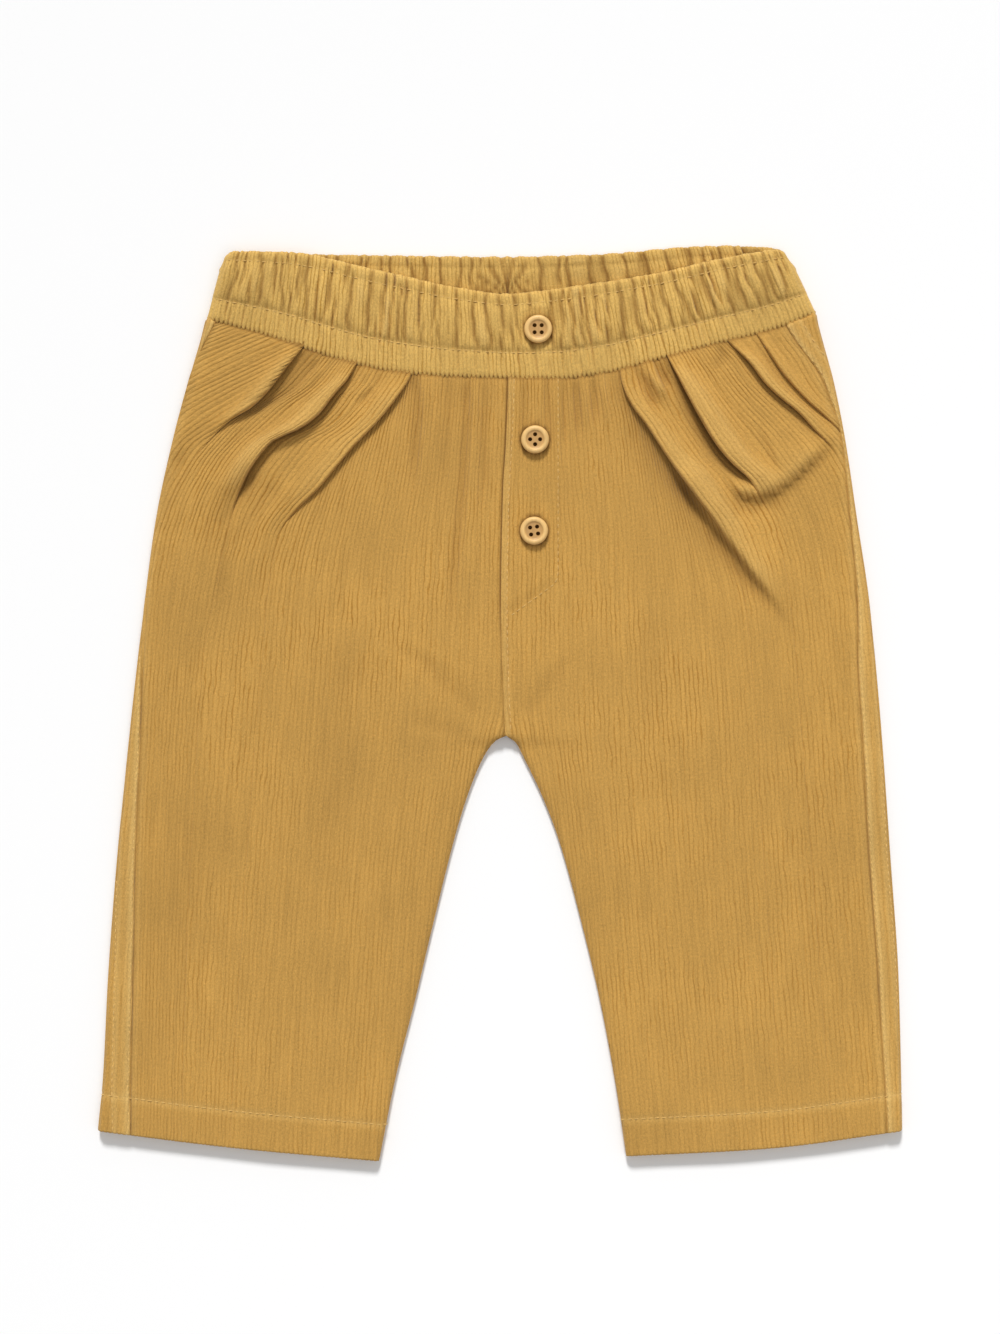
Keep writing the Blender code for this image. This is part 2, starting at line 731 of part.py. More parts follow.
def waistband_front():
    places, gathers = gather_places(FRONT_GATHERS)
    drops, rises, shares = (np.array(c)[:, None] for c in zip(*FRONT_BAND_ROWS))
    x, y, from_end = band_grid(front_top, front_seam, drops[:, 0], places)
    floor = BAND_BACK_WALL + BACK_GATHER_DEPTH + BAND_CLEARANCE
    under = np.broadcast_to(floor - 0.2 * drops, x.shape)
    _, button_x, button_y, _ = BUTTONS[0]
    near_button = np.hypot(x - button_x, y - button_y)
    flatten = ease(near_button, BUTTON_RADIUS, BUTTON_RADIUS + 4)
    over = under + BAND_WALL + rises + FRONT_GATHER_DEPTH * shares * gathers * flatten
    middle = band_middle(y) + SEAM_GAP / 2
    reach = BAND_WALL + FOLD_ROUND
    share = rounding(from_end, reach)
    upper = middle + (over - middle) * share
    lower = middle + (under - middle) * share
    turned = BAND_WALL * np.clip(1 - from_end / reach, 0, 1) * np.sign(-x)
    outside = np.stack([x, y, upper], axis=-1)
    inside = np.stack([x + turned, y, lower], axis=-1)
    return wall_mesh("waistband_front", outside, inside, plain_columns(len(places)), CORDUROY_BAND)


def waistband_back():
    places, gathers = gather_places(BACK_GATHERS)
    drops, rises, shares = (np.array(c)[:, None] for c in zip(*BACK_BAND_ROWS))
    x, y, from_end = band_grid(back_top, back_seam, drops[:, 0], places)
    over = BAND_BACK_WALL + rises + BACK_GATHER_DEPTH * shares * gathers
    middle = band_middle(y) - SEAM_GAP / 2
    reach = BAND_WALL + FOLD_ROUND
    share = rounding(from_end, reach)
    lower = middle * (1 - share)
    upper = middle + (over - middle) * share
    turned = BAND_BACK_WALL * np.clip(1 - from_end / reach, 0, 1) * np.sign(-x)
    inside = np.stack([x + turned, y, upper], axis=-1)
    outside = np.stack([x, y, lower], axis=-1)
    return wall_mesh("waistband_back", inside, outside, plain_columns(len(places)), CORDUROY_BAND)


def button_mesh(name):
    """A turned four-hole button: raised rim, sunken dish, holes right through."""
    profile = (
        (0.0, 0.0),
        (BUTTON_RADIUS - 1.0, 0.0),
        (BUTTON_RADIUS - 0.15, 0.55),
        (BUTTON_RADIUS, 1.25),
        (BUTTON_RADIUS - 0.45, 2.1),
        (BUTTON_RADIUS - 1.2, BUTTON_THICKNESS),
        (BUTTON_DISH_RADIUS + 0.35, 2.2),
        (BUTTON_DISH_RADIUS - 0.35, 1.55),
        (0.0, 1.45),
    )
    mesh = bpy.data.meshes.new(name)
    build = bmesh.new()
    points = [build.verts.new((r * MM, 0, z * MM)) for r, z in profile]
    edges = [build.edges.new(pair) for pair in zip(points, points[1:])]
    bmesh.ops.spin(
        build,
        geom=points + edges,
        cent=(0, 0, 0),
        axis=(0, 0, 1),
        angle=2 * math.pi,
        steps=BUTTON_SIDES,
    )
    bmesh.ops.remove_doubles(build, verts=build.verts, dist=0.00001)
    bmesh.ops.recalc_face_normals(build, faces=build.faces)
    build.to_mesh(mesh)
    build.free()
    mesh.shade_smooth()
    mesh.set_sharp_from_angle(angle=math.radians(45))
    return mesh


def hole_cutter(name):
    """The four holes of one button, as four pins in one mesh."""
    mesh = bpy.data.meshes.new(name)
    build = bmesh.new()
    for x in (-1, 1):
        for y in (-1, 1):
            pin = bmesh.ops.create_cone(
                build,
                cap_ends=True,
                segments=8,
                radius1=BUTTON_HOLE_RADIUS * MM,
                radius2=BUTTON_HOLE_RADIUS * MM,
                depth=3 * BUTTON_THICKNESS * MM,
            )
            offset = BUTTON_HOLE_SPACING / 2 * MM
            bmesh.ops.translate(build, verts=pin["verts"], vec=(x * offset, y * offset, 0))
    build.to_mesh(mesh)
    build.free()
    return mesh


def button(name, x, height, turn):
    if name == "button_waist":
        rest = BAND_BACK_WALL + BACK_GATHER_DEPTH + BAND_CLEARANCE + BAND_WALL + 0.6
    else:
        rest = float(LEFT.thickness(x, height)) + FLY_RAISE + 0.1
    piece = add_object(name, button_mesh(name), BUTTON_COLOUR)
    cutter = bpy.data.objects.new(name + "_holes", hole_cutter(name + "_holes"))
    bpy.context.scene.collection.objects.link(cutter)
    cutter.hide_render = True
    cutter.display_type = "WIRE"
    for each in (piece, cutter):
        each.location = (x * MM, height * MM, (rest + SEAM_GAP) * MM)
        each.rotation_euler = (0, 0, math.radians(turn))
    holes = piece.modifiers.new("holes", "BOOLEAN")
    holes.operation = "DIFFERENCE"
    holes.solver = "EXACT"
    holes.object = cutter
    return piece


def main():
    for item in list(bpy.data.objects):
        bpy.data.objects.remove(item, do_unlink=True)
    back_panel("back_right", RIGHT)
    back_panel("back_left", LEFT)
    front_panel("front_right", RIGHT, fly=False)
    front_panel("front_left", LEFT, fly=True)
    waistband_back()
    waistband_front()
    for row in BUTTONS:
        button(*row)


main()
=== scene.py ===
# Baby's pull-on trousers in fine corduroy, laid flat with the front up.
# Sizes are in millimetres and are scaled to metres when a mesh is made. Each half is worked
# out in "across", the distance outwards from the middle line, and height, along +Y.

import math

import bmesh
import bpy
import numpy as np
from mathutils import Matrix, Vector
from mathutils.bvhtree import BVHTree


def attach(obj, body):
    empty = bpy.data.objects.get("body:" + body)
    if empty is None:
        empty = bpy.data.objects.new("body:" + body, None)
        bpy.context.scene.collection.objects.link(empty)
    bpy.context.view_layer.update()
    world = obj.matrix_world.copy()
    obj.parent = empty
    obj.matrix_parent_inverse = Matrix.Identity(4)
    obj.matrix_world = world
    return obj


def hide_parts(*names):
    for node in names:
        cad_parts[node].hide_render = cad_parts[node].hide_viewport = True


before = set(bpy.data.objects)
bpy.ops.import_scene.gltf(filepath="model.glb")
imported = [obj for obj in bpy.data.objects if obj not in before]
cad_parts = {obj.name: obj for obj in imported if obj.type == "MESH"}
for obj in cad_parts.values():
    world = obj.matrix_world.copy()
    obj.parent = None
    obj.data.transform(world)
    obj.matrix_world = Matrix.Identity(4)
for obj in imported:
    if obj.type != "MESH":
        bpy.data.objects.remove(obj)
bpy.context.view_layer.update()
mm = 0.001
weld = 0.002 * mm              # points closer than this become one
print("frame loaded")

garment = {
    "cloth": 1.1,              # one layer, then the doubled hem and the cloth over a seam allowance
    "hemCloth": 2.1,
    "seamCloth": 2.2,
    "foldRound": 2.4,          # how far in from a folded edge the cloth takes to come level
    "edgeSpread": 16.0,        # and how far in the whole garment takes to reach its full height
    "hemDepth": 16.0,
    "hemStitch": 14.9,         # the hem's row of stitches above the edge
    "centreStitch": 2.4,       # the rows beside the centre seam and along the side strips
    "stripStitches": (0.8, 7.2),
    "pucker": 0.16,            # height of the small gathers that stitches draw up
    "crotchHeight": -13.0,
    "walePitch": 1.9,
    "waleDepth": 0.25,
    "waleShape": ((0.0, 0.0), (0.2, 0.78), (0.5, 1.0), (0.8, 0.78)),   # place in the wale, height
}

# height, across of the outer edge, side seam's distance in from that edge
rightSide = (
    (158, 116.6, 5.4), (153.4, 118, 4.8), (145.4, 120, 2.6), (136, 122.8, 0.6), (129.4, 124.8, 0),
    (105.4, 131.2, 0), (73.4, 138, 0), (41.4, 142.4, 0), (9.4, 146.2, 2.6), (-14.6, 148.8, 4.8),
    (-62.6, 153.6, 7.6), (-110.6, 157.2, 10.2), (-150.6, 159.2, 11.2), (-172, 161.2, 13.4),
    (-186, 162.2, 13.6),
)
leftSide = (
    (162, 126, 16.5), (153.4, 127.2, 14), (145.4, 129.2, 11.5), (129.4, 133.6, 4.6),
    (105.4, 138.4, 1.8), (73.4, 143.2, 3), (41.4, 148, 5), (9.4, 151.2, 7.6), (-14.6, 153.2, 8),
    (-62.6, 156.6, 8.8), (-110.6, 159.8, 8.4), (-150.6, 160.8, 7), (-172, 161.2, 6.4),
    (-186, 161.4, 6.2),
)
# height, across of the leg's inner edge
rightInseam = (
    (-13, -1.9), (-15, 1.9), (-22.6, 7.2), (-38.6, 13.6), (-54.6, 18.4), (-86.6, 26.4), (-118.6, 34),
    (-150.6, 42), (-184, 48.6),
)
leftInseam = (
    (-13, 2.2), (-15, 5.8), (-22.6, 10), (-38.6, 17.6), (-54.6, 23.6), (-86.6, 32.4), (-118.6, 40),
    (-150.6, 46), (-184, 51),
)
# height, x
centreSeamLine = (
    (150, 3), (130, 3.2), (105, 2.4), (85, 1.2), (40, 0.4), (10, 1), (-13, 2.05),
)
# x, height
frontTopLine = (
    (-111, 181), (-84, 180.4), (-51.6, 173.8), (-15.2, 166), (2, 163.8), (22.4, 165.8), (63.6, 172.2),
    (90, 178.2), (115, 182.4),
)
frontSeamLine = (
    (-118.4, 154), (-93.2, 147), (-64, 137.4), (-42.8, 132.6), (-15.2, 130.4), (22.4, 129.7),
    (43.2, 132.2), (59.2, 136.4), (81.6, 142.4), (109.2, 149.4), (127.4, 156.4),
)
backTopLine = (
    (-111, 181), (-60, 179.8), (0, 179), (40, 180), (80, 183.2), (92, 183.4), (115, 182.4),
)
backSeamLine = ((-118.4, 154), (-60, 148.4), (3, 146), (66, 149.8), (127.4, 156.4))
rightHem = ((-161.6, -171), (-105, -178), (-48, -183.2))
leftHem = ((50, -181.2), (106, -178.2), (161.6, -171))
# height, thickness of the garment at a folded edge, in the middle of the cloth
thicknessRows = (
    (158, 5.7, 6.4), (140, 5.3, 6.2), (115, 4.4, 5.6), (80, 3.7, 5.1), (30, 3.3, 4.8), (-30, 3.2, 4.5),
    (-120, 3.3, 4.4), (-150, 3.8, 4.5), (-166, 4.8, 5), (-186, 4.8, 4.9),
)


def closedLine(roll, pocket, spots):
    # the lower rows of a pleat, where it has closed and only guides the cloth's columns
    return [(height, across, 0, roll, pocket, 0) for height, across in spots]


# pleats from the outside in: height, across of the lip, lift, width of the roll behind it,
# width of the pocket before it, how far the cloth goes back under the lip
rightPleats = (
    (
        (161, 64.8, 0.9, 5, 8.8, 0), (141, 79.6, 1.7, 5, 8.8, 0.8), (133, 86, 2.2, 5.5, 8.2, 1.4),
        (125, 92.2, 2.4, 6, 6.8, 1.6), (118, 99.4, 2.2, 6, 5.2, 1.4), (113.4, 107.4, 1.2, 5, 3, 0.6),
        (104, 117.2, 0.2, 4, 2.4, 0),
        *closedLine(4, 2.4, (
            (97, 123.2), (89, 128), (81, 132), (65, 137.2), (41, 141.2), (1, 143.6), (-59, 146.4),
            (-187, 148),
        )),
    ),
    (
        (161, 40.8, 0.6, 6, 1.4, 0), (145, 50.8, 0.8, 6, 1.4, 0.2), (136, 56.8, 1.4, 6, 1.4, 0.8),
        (129, 61.2, 2, 6.5, 1.6, 1.4), (124, 65.6, 2.6, 7, 1.8, 2), (115, 72.6, 3, 8, 2, 2.4),
        (109.4, 80.4, 3.3, 8, 2, 2.6), (105.2, 90, 2.8, 7, 2, 2), (99, 95.8, 3.1, 7, 2.4, 2),
        (91, 101.2, 2.6, 7, 3, 1.4), (81, 105.6, 0.8, 6.5, 3.6, 0.2),
        *closedLine(6, 4, (
            (71, 108.6), (57, 112), (41, 114.8), (25, 118), (1, 120.4), (-39, 122.8), (-119, 126.4),
            (-187, 128),
        )),
    ),
    (
        (161, 24, 0.5, 7, 2.2, 0), (145, 30, 0.6, 7, 2.2, 0), (130, 36, 1.2, 7, 2.2, 0.6),
        (122, 41.2, 1.7, 8, 2.4, 1), (113, 48.4, 1.7, 9, 2.6, 0.8), (103, 58, 1.6, 10, 2.8, 0.6),
        (95, 64.8, 1.6, 10, 3, 0.4), (86, 72.4, 1.4, 10, 3.2, 0.2), (78, 80.8, 0.8, 9, 3.4, 0),
        (71, 86.6, 0.2, 8, 3.6, 0), (66, 89, 0, 8, 3.6, 0),
        *closedLine(8, 5.6, (
            (41, 93.6), (21, 95.2), (1, 96.8), (-39, 100), (-119, 105.2), (-187, 108.8),
        )),
    ),
)
leftPleats = (
    (
        (161, 93.2, 0.5, 3, 2, 0), (147, 102.8, 0.8, 3, 2, 0.3), (132, 112.8, 1.2, 4, 2, 0.7),
        (121, 122.8, 1.1, 4, 2, 0.6), (111, 134, 0.4, 4, 1.6, 0),
        *closedLine(3, 1.6, (
            (103, 140.8), (93, 147.2), (81, 152), (41, 158.8), (-187, 176),
        )),
    ),
    (
        (161, 78, 0.6, 4, 1.4, 0), (144, 91.6, 1.2, 4, 1.4, 0.8), (136, 99.6, 2, 4.5, 1.6, 1.2),
        (128, 105.6, 2, 5, 1.8, 1.4), (121, 113.2, 2, 5, 2, 1.2), (117, 118.4, 1.8, 5, 2, 1),
        (109, 126, 1, 4, 2, 0.4), (104, 131.2, 0.4, 4, 2, 0),
        *closedLine(4, 2, (
            (97, 136), (89, 140), (81, 142.4), (65, 146.4), (49, 149.2), (1, 154), (-187, 168.4),
        )),
    ),
    (
        (161, 56, 0.5, 6, 1.4, 0), (144, 64, 0.8, 6, 1.4, 0.2), (133, 69.6, 1.9, 6.5, 1.8, 1.2),
        (123, 74.8, 2.8, 8, 3, 2.2), (114, 79.6, 3.2, 9, 3.8, 2.6), (103, 86.4, 3.3, 9, 4.6, 2.6),
        (96, 92.4, 2.9, 9, 5, 2.2), (90, 99, 1.6, 8, 3.4, 0.8), (86, 102, 0.4, 7, 2.2, 0),
        (71, 110, 0, 5, 2.2, 0),
        *closedLine(5, 2.6, (
            (61, 112.8), (49, 115.2), (33, 117.2), (1, 120), (-187, 134.4),
        )),
    ),
    (
        (161, 44.8, 0.4, 6, 3, 0), (131, 48, 1, 6, 3, 0.6), (122, 50.8, 1.5, 7, 3.4, 1.2),
        (111, 58.4, 1.9, 8, 4, 1.4), (93, 70.4, 2.3, 9, 4.6, 1.2), (81, 79.2, 1.6, 9, 4.6, 0.6),
        (71, 87, 0.5, 9, 4.6, 0), (64, 90.8, 0, 9, 5.6, 0), (45, 97.2, 0, 8, 5.6, 0),
        *closedLine(6, 5.6, (
            (33, 99.2), (17, 100.8), (1, 102), (-59, 105.6), (-187, 114.8),
        )),
    ),
)
# painted shade: how dark the hollow beside each pleat is painted
rightDarkness = (0.42, 0.46, 0.32)
leftDarkness = (0.42, 0.48, 0.7, 0.42)

# lines of the cloth's wales between the pleats, from the outside in: number of the wale,
# then height and across along it. A pleat's own lip closes each stretch on its inner side
rightWales = (
    (
        (-32, ((161, 118), (154, 134), (145, 152), (137, 166), (129, 176), (121, 184), (105, 193),
             (81, 199), (41, 204), (-187, 209))),
        (-21, ((161, 82), (154, 99), (145, 121), (139, 135.6), (129, 151), (121, 161.5), (105, 172),
             (81, 178.5), (41, 182.5), (-187, 188))),
        (-10, ((161, 43.5), (151, 64), (141, 84.5), (131, 105.5), (121, 125.5), (113, 137),
             (105, 143.5), (97, 147.6), (81, 153), (65, 156.6), (41, 160.2), (1, 162.6), (-59, 165.4),
             (-187, 167))),
        (0, ((161, 18), (141, 53.6), (121, 86.8), (113, 100.8), (104, 117.2), (97, 123.2), (89, 128),
             (81, 132), (65, 137.2), (41, 141.2), (1, 143.6), (-59, 146.4), (-187, 148))),
    ),
    (
        (-4, "lip before"),
        (0, ((161, 54), (145, 66), (139, 70.8), (133, 76), (126, 82.8), (120, 92), (113, 101.5),
             (104, 110.2), (97, 116.2), (89, 121), (81, 125), (65, 130), (41, 134.2), (1, 137.4),
             (-59, 140.3), (-187, 142.7))),
        (11, "lip"),
    ),
    ((11, "lip before"), (23, "lip")),
    (
        (23, ((161, 51.2), (145, 53.6), (129, 59.2), (113, 66), (97, 73.6), (81, 81.6), (70, 87.2),
             (57, 91.2), (41, 93.6), (21, 95.2), (1, 96.8), (-39, 100), (-119, 105.2), (-187, 108.8))),
        (35, ((161, 38), (129, 46), (113, 53.6), (97, 59.2), (81, 64), (57, 69.6), (41, 71.6),
             (25, 72.8), (1, 74.4), (-59, 79.2), (-119, 83.2), (-187, 86.8))),
        (48, ((161, 32.8), (129, 35.6), (97, 39.6), (81, 42.4), (57, 46.4), (25, 48.4), (1, 49.6),
             (-59, 55.2), (-119, 59.2), (-187, 63.2))),
        (61, ((161, 15.2), (129, 16.4), (97, 18.8), (57, 22.4), (1, 24.8), (-15, 26.4), (-31, 28),
             (-59, 31.6), (-119, 36), (-187, 40.4))),
        (74, ((161, -3.2), (129, -2.8), (57, -1.2), (1, -0.4), (-15, 2.8), (-31, 5.6), (-59, 8.8),
             (-119, 12.8), (-187, 16.8))),
        (77, ((161, -8.8), (129, -8.6), (57, -7), (1, -6.2), (-15, -3), (-31, 0), (-59, 3.2),
             (-119, 7.2), (-187, 11.2))),
    ),
)
leftWales = (
    (
        (-20, ((161, 126), (149, 133), (138, 142), (126, 150), (118, 156), (109, 162), (99, 170),
             (81, 178), (41, 185), (-187, 201))),
        (-9, ((161, 108), (149, 113.6), (138, 121.6), (126, 128.8), (118, 136), (109, 144.8),
             (99, 153.6), (81, 162), (41, 168), (-187, 184))),
        (-4, "lip"),
    ),
    ((-4, "lip before"), (0, "lip")),
    (
        (0, "lip before"),
        (9, ((161, 66), (144, 77.6), (133, 85.2), (121, 94), (105, 108), (97, 113.6), (89, 120),
             (81, 123.6), (65, 129.2), (49, 132.4), (33, 134.4), (1, 137.2), (-59, 142),
             (-187, 151.6))),
        (18, "lip"),
    ),
    ((18, "lip before"), (28, "lip")),
    (
        (28, ((161, 56), (145, 60.8), (129, 66), (113, 72), (97, 78), (81, 84), (67, 89.6), (55, 94),
             (45, 97.2), (33, 99.2), (17, 100.8), (1, 102), (-59, 105.6), (-187, 114.8))),
        (49, ((161, 47.2), (129, 50), (113, 53.6), (97, 56), (81, 58), (65, 59.6), (49, 60.4),
             (33, 61.2), (1, 62.8), (-59, 66.4), (-119, 70.8), (-187, 76.4))),
        (65, ((161, 24.8), (129, 26.4), (81, 29.2), (57, 30.8), (1, 31.6), (-15, 32.4), (-31, 34),
             (-59, 36.8), (-119, 41.6), (-187, 47.2))),
        (81, ((161, 3.2), (129, 3.2), (57, 1.6), (1, 1.2), (-15, 3.6), (-31, 7.2), (-59, 11.2),
             (-119, 16.8), (-187, 22.4))),
        (83, ((161, -0.6), (129, -0.6), (57, -2.2), (1, -2.6), (-15, -0.2), (-31, 3.4), (-59, 7.4),
             (-119, 13), (-187, 18.6))),
    ),
)

# creases: kind, width, rise (a trough is below 0), then height and across along each. A step
# is raised on the left of its line and sharp there
rightCreases = (
    ("soft", 1.6, -0.9, ((139, 70.8), (133, 76), (126, 82.8), (120, 92), (115, 100))),
    ("soft", 2.6, 0.8, ((136, 68), (130, 75), (122, 84), (116, 94))),
    ("soft", 1.3, -0.9, ((134, 48.4), (130, 49), (126, 49.2))),
    ("soft", 1.6, -0.9, ((125.6, 49.8), (122, 54), (119, 59.2))),
    ("soft", 2.4, 0.7, ((127, 54), (121, 57), (114, 62))),
    ("soft", 2.2, -1.2, ((138, 34.6), (122, 33.4), (110, 33.4), (95, 34.2), (80, 35.4))),
    ("soft", 2.4, 0.8, ((138, 29.4), (118, 29.2), (98, 30), (76, 32.4))),
    ("soft", 1.8, -1.2, ((138, 13.4), (112, 13.4), (88, 15), (60, 18), (20, 20.6))),
    ("soft", 2.6, 0.8, ((138, 9.4), (104, 9.4), (80, 11), (50, 13.4), (20, 16))),
    ("soft", 2.4, -0.8, ((138, 20.4), (118, 20.8), (100, 22), (78, 23.6))),
    ("soft", 2, -0.9, ((138, 6.6), (116, 6.2), (90, 6.6), (70, 8))),
    ("step", 5, 0.6, ((72, 108.4), (58, 112.4), (44, 113.6), (34, 112.4))),
    ("soft", 6, 0.8, ((97, 112), (80, 119), (60, 123), (30, 127))),
    ("soft", 4.5, -0.4, ((74, 84.4), (62, 91), (48, 97), (34, 100))),
    ("soft", 3.6, -0.7, ((101, 127), (88, 134), (70, 138))),
    ("soft", 6, -1, ((94, 97), (82, 107), (68, 114), (56, 118))),
    ("soft", 5, -0.8, ((88, 88), (74, 100), (60, 106))),
    ("soft", 3.2, -0.6, ((112, 112), (103, 124), (92, 134))),
    ("soft", 9, -0.4, ((30, 60), (-30, 66), (-80, 70))),
    ("soft", 8, 0.4, ((60, 72), (10, 80), (-60, 88))),
    ("soft", 10, -0.4, ((-40, 120), (-100, 125), (-140, 127))),
    ("soft", 9, 0.4, ((-60, 52), (-110, 58), (-150, 60))),
    ("soft", 3, -0.7, ((-6, 8), (4, 16), (16, 30), (24, 44))),
    ("soft", 3.4, -0.5, ((-14, 10), (-10, 24), (-4, 40))),
)
leftCreases = (
    ("soft", 1.8, -1, ((143.4, 87.2), (138.2, 89.6), (132.6, 84.8))),
    ("soft", 2.2, 2.4, ((139, 57.4), (130, 61.6), (120, 67))),
    ("soft", 1.5, -2, ((140, 61), (130, 65.6), (124, 69.4))),
    ("soft", 1.7, -1.6, ((138, 53), (130, 56.4), (124, 59.4), (114, 64.6))),
    ("soft", 1.5, -1.4, ((138, 29.4), (122, 30.6), (102, 31.4))),
    ("soft", 1.5, 1.2, ((138, 33.4), (121, 34), (106, 35))),
    ("soft", 1.4, -1.3, ((138, 36.4), (122, 37.6), (108, 38.6))),
    ("soft", 1.4, 1.2, ((138, 40.4), (122, 42), (110, 43.6))),
    ("soft", 1.6, -0.9, ((138, 25.2), (120, 25.6), (98, 26.2))),
    ("soft", 1.8, -0.8, ((138, 9.8), (116, 9.8), (94, 9.6))),
    ("soft", 1.6, -1, ((138, 18.4), (120, 18.8), (98, 19.6))),
    ("step", 4, 2.4, ((88.8, 91), (83.6, 96), (82.2, 102), (84.4, 109), (88.2, 115.2),
                        (92.6, 120.2), (100.2, 128.4), (109, 136))),
    ("soft", 3.6, -0.9, ((80, 92), (77.4, 101), (79, 110), (84, 118))),
    ("step", 4.4, 3, ((96, 67.4), (80.4, 78.4), (67, 89), (57.6, 96.2), (53.2, 99.2), (45.4, 105.6),
                        (36.4, 112.6), (30.4, 117))),
    ("soft", 3.6, -0.8, ((70, 82), (54, 94.6), (46, 100.6), (38, 107))),
    ("step", 3.2, 0.8, ((110, 105.4), (100, 108.6), (93, 112))),
    ("soft", 7, -0.9, ((116, 48), (100, 57), (81, 71), (67, 81), (54, 91), (44, 98))),
    ("soft", 8, -0.4, ((40, 60), (0, 62), (-60, 68))),
    ("soft", 9, 0.4, ((30, 80), (-30, 88), (-90, 93))),
    ("soft", 9, -0.4, ((-20, 120), (-80, 128), (-130, 132))),
    ("soft", 9, 0.4, ((-50, 50), (-110, 56), (-150, 60))),
    ("soft", 3, -0.6, ((-6, 9), (6, 18), (20, 30))),
)


def bend(t, step, low, high, slopeLow, slopeHigh):
    # a cubic from low to high as t goes from 0 to 1, with the given slopes at its ends
    return (
        low * (1 + 2 * t) * (1 - t) ** 2
        + high * (3 - 2 * t) * t * t
        + step * t * (1 - t) * (slopeLow * (1 - t) - slopeHigh * t)
    )


def curve(rows, column=1):
    # a smooth curve through a table's rows that never overshoots between them
    table = sorted((row[0], row[column]) for row in rows)
    at, value = np.array(table, float).T
    step = np.diff(at)
    slope = np.diff(value) / step
    turn = np.zeros_like(value)
    same = slope[:-1] * slope[1:] > 0
    before, after = slope[:-1][same], slope[1:][same]
    turn[1:-1][same] = 2 * before * after / (before + after)
    turn[0], turn[-1] = slope[0], slope[-1]

    def read(place):
        place = np.clip(place, at[0], at[-1])
        i = np.clip(np.searchsorted(at, place) - 1, 0, len(step) - 1)
        return bend((place - at[i]) / step[i], step[i], value[i], value[i + 1], turn[i], turn[i + 1])

    return read


def ease(value, low, high):
    t = np.clip((np.asarray(value, float) - low) / (high - low), 0, 1)
    return t * t * (3 - 2 * t)


def bell(distance, width):
    # 1 on a line, fading smoothly to 0 on both sides of it
    return np.exp(-((distance / width) ** 2))


def rounding(inwards, reach):
    # 0 at a folded edge, rising along a quarter ellipse to 1 at reach
    t = np.clip(inwards / reach, 0, 1)
    return np.sqrt(np.maximum(0, 1 - (1 - t) ** 2))


def ripple(place, seed, period):
    # a smooth uneven wave between -1 and 1, made of three sines with fixed phases
    phases = np.random.default_rng(seed).uniform(0, 2 * math.pi, 3)
    rates = 2 * math.pi / period * np.array((1.0, 0.61, 1.47))
    parts = [np.sin(rate * place + phase) for rate, phase in zip(rates, phases)]
    return sum(parts) / 3


frontSeam, backSeam = curve(frontSeamLine), curve(backSeamLine)
frontTop, backTop = curve(frontTopLine), curve(backTopLine)
centreSeam = curve(centreSeamLine)
edgeThickness, middleThickness = curve(thicknessRows, 1), curve(thicknessRows, 2)


def legShare(height):
    # 0 where the halves join at the centre seam, 1 where the legs have an inner edge
    crotch = garment["crotchHeight"]
    return 1 - ease(height, crotch - 5, crotch + 0.5)


class Half:
    # one half of the trousers: its outline, pleats, wales and thickness

    def __init__(self, side, outline, inseam, hem, pleats, darkness, wales, creases):
        self.side, self.darkness = side, darkness
        self.edge, self.seamIn = curve(outline, 1), curve(outline, 2)
        self.inseam = curve(inseam)
        self.hemLine = curve(hem)
        self.pleats = [[curve(rows, column) for column in range(1, 6)] for rows in pleats]
        self.wales = wales
        self.creases = creases

    def inner(self, height, past=0.0):
        seam = self.side * centreSeam(height) - past
        crotch = garment["crotchHeight"]
        return np.where(height >= crotch, seam, np.maximum(self.inseam(height), seam))

    def hem(self, across):
        return self.hemLine(self.side * across)

    def stripShare(self, height):
        # 0 where the side seam lies on the outer fold, 1 where the back panel shows beside it
        return ease(self.seamIn(height), 0.8, 3)

    def thickness(self, across, height):
        fromEdge = np.maximum(self.edge(height) - across, 0)
        fromInner = np.maximum(across - self.inner(height), 0)
        rise = 1 - np.exp(-fromEdge / garment["edgeSpread"])
        rise = rise * (1 - legShare(height) * np.exp(-fromInner / garment["edgeSpread"]))
        low, high = edgeThickness(height), middleThickness(height)
        return low + (high - low) * rise

    def wall(self, across, height, seam):
        aboveHem = height - self.hem(across)
        belowSeam = seam(self.side * across) - height
        cloth, depth = garment["cloth"], garment["hemDepth"]
        hem = (garment["hemCloth"] - cloth) * (1 - ease(aboveHem, depth, depth + 1.5))
        allowance = (garment["seamCloth"] - cloth) * (1 - ease(belowSeam, 9, 22))
        return cloth + hem + allowance


class PanelPoints:
    # a panel's points, and how far each is from the panel's seams and edges

    def __init__(self, half, across, height, bandSeam):
        self.across, self.height = across, height
        self.x = half.side * across
        self.belowBand = bandSeam(self.x) - height
        self.fromEdge = half.edge(height) - across
        self.toSeam = self.fromEdge - half.seamIn(height)
        self.fromInner = across - half.inner(height)
        self.aboveHem = height - half.hem(across)
        self.toCentre = across - half.side * centreSeam(height)
        self.legs = legShare(height)


right = Half(
    -1, rightSide, rightInseam, rightHem, rightPleats, rightDarkness, rightWales, rightCreases
)
left = Half(1, leftSide, leftInseam, leftHem, leftPleats, leftDarkness, leftWales, leftCreases)


def newObject(name, data):
    thing = bpy.data.objects.new(name, data)
    bpy.context.scene.collection.objects.link(thing)
    return thing


def finishedMesh(thing):
    # the plain mesh that an object's modifiers give
    bpy.context.scene.view_layers[0].update()
    return bpy.data.meshes.new_from_object(thing.evaluated_get(bpy.context.evaluated_depsgraph_get()))


def addPiece(name, mesh, material, nodes=()):
    mesh.materials.clear()
    mesh.materials.append(material)
    piece = newObject(name, mesh)
    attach(piece, "root")
    if nodes:
        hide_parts(*nodes)
    return piece


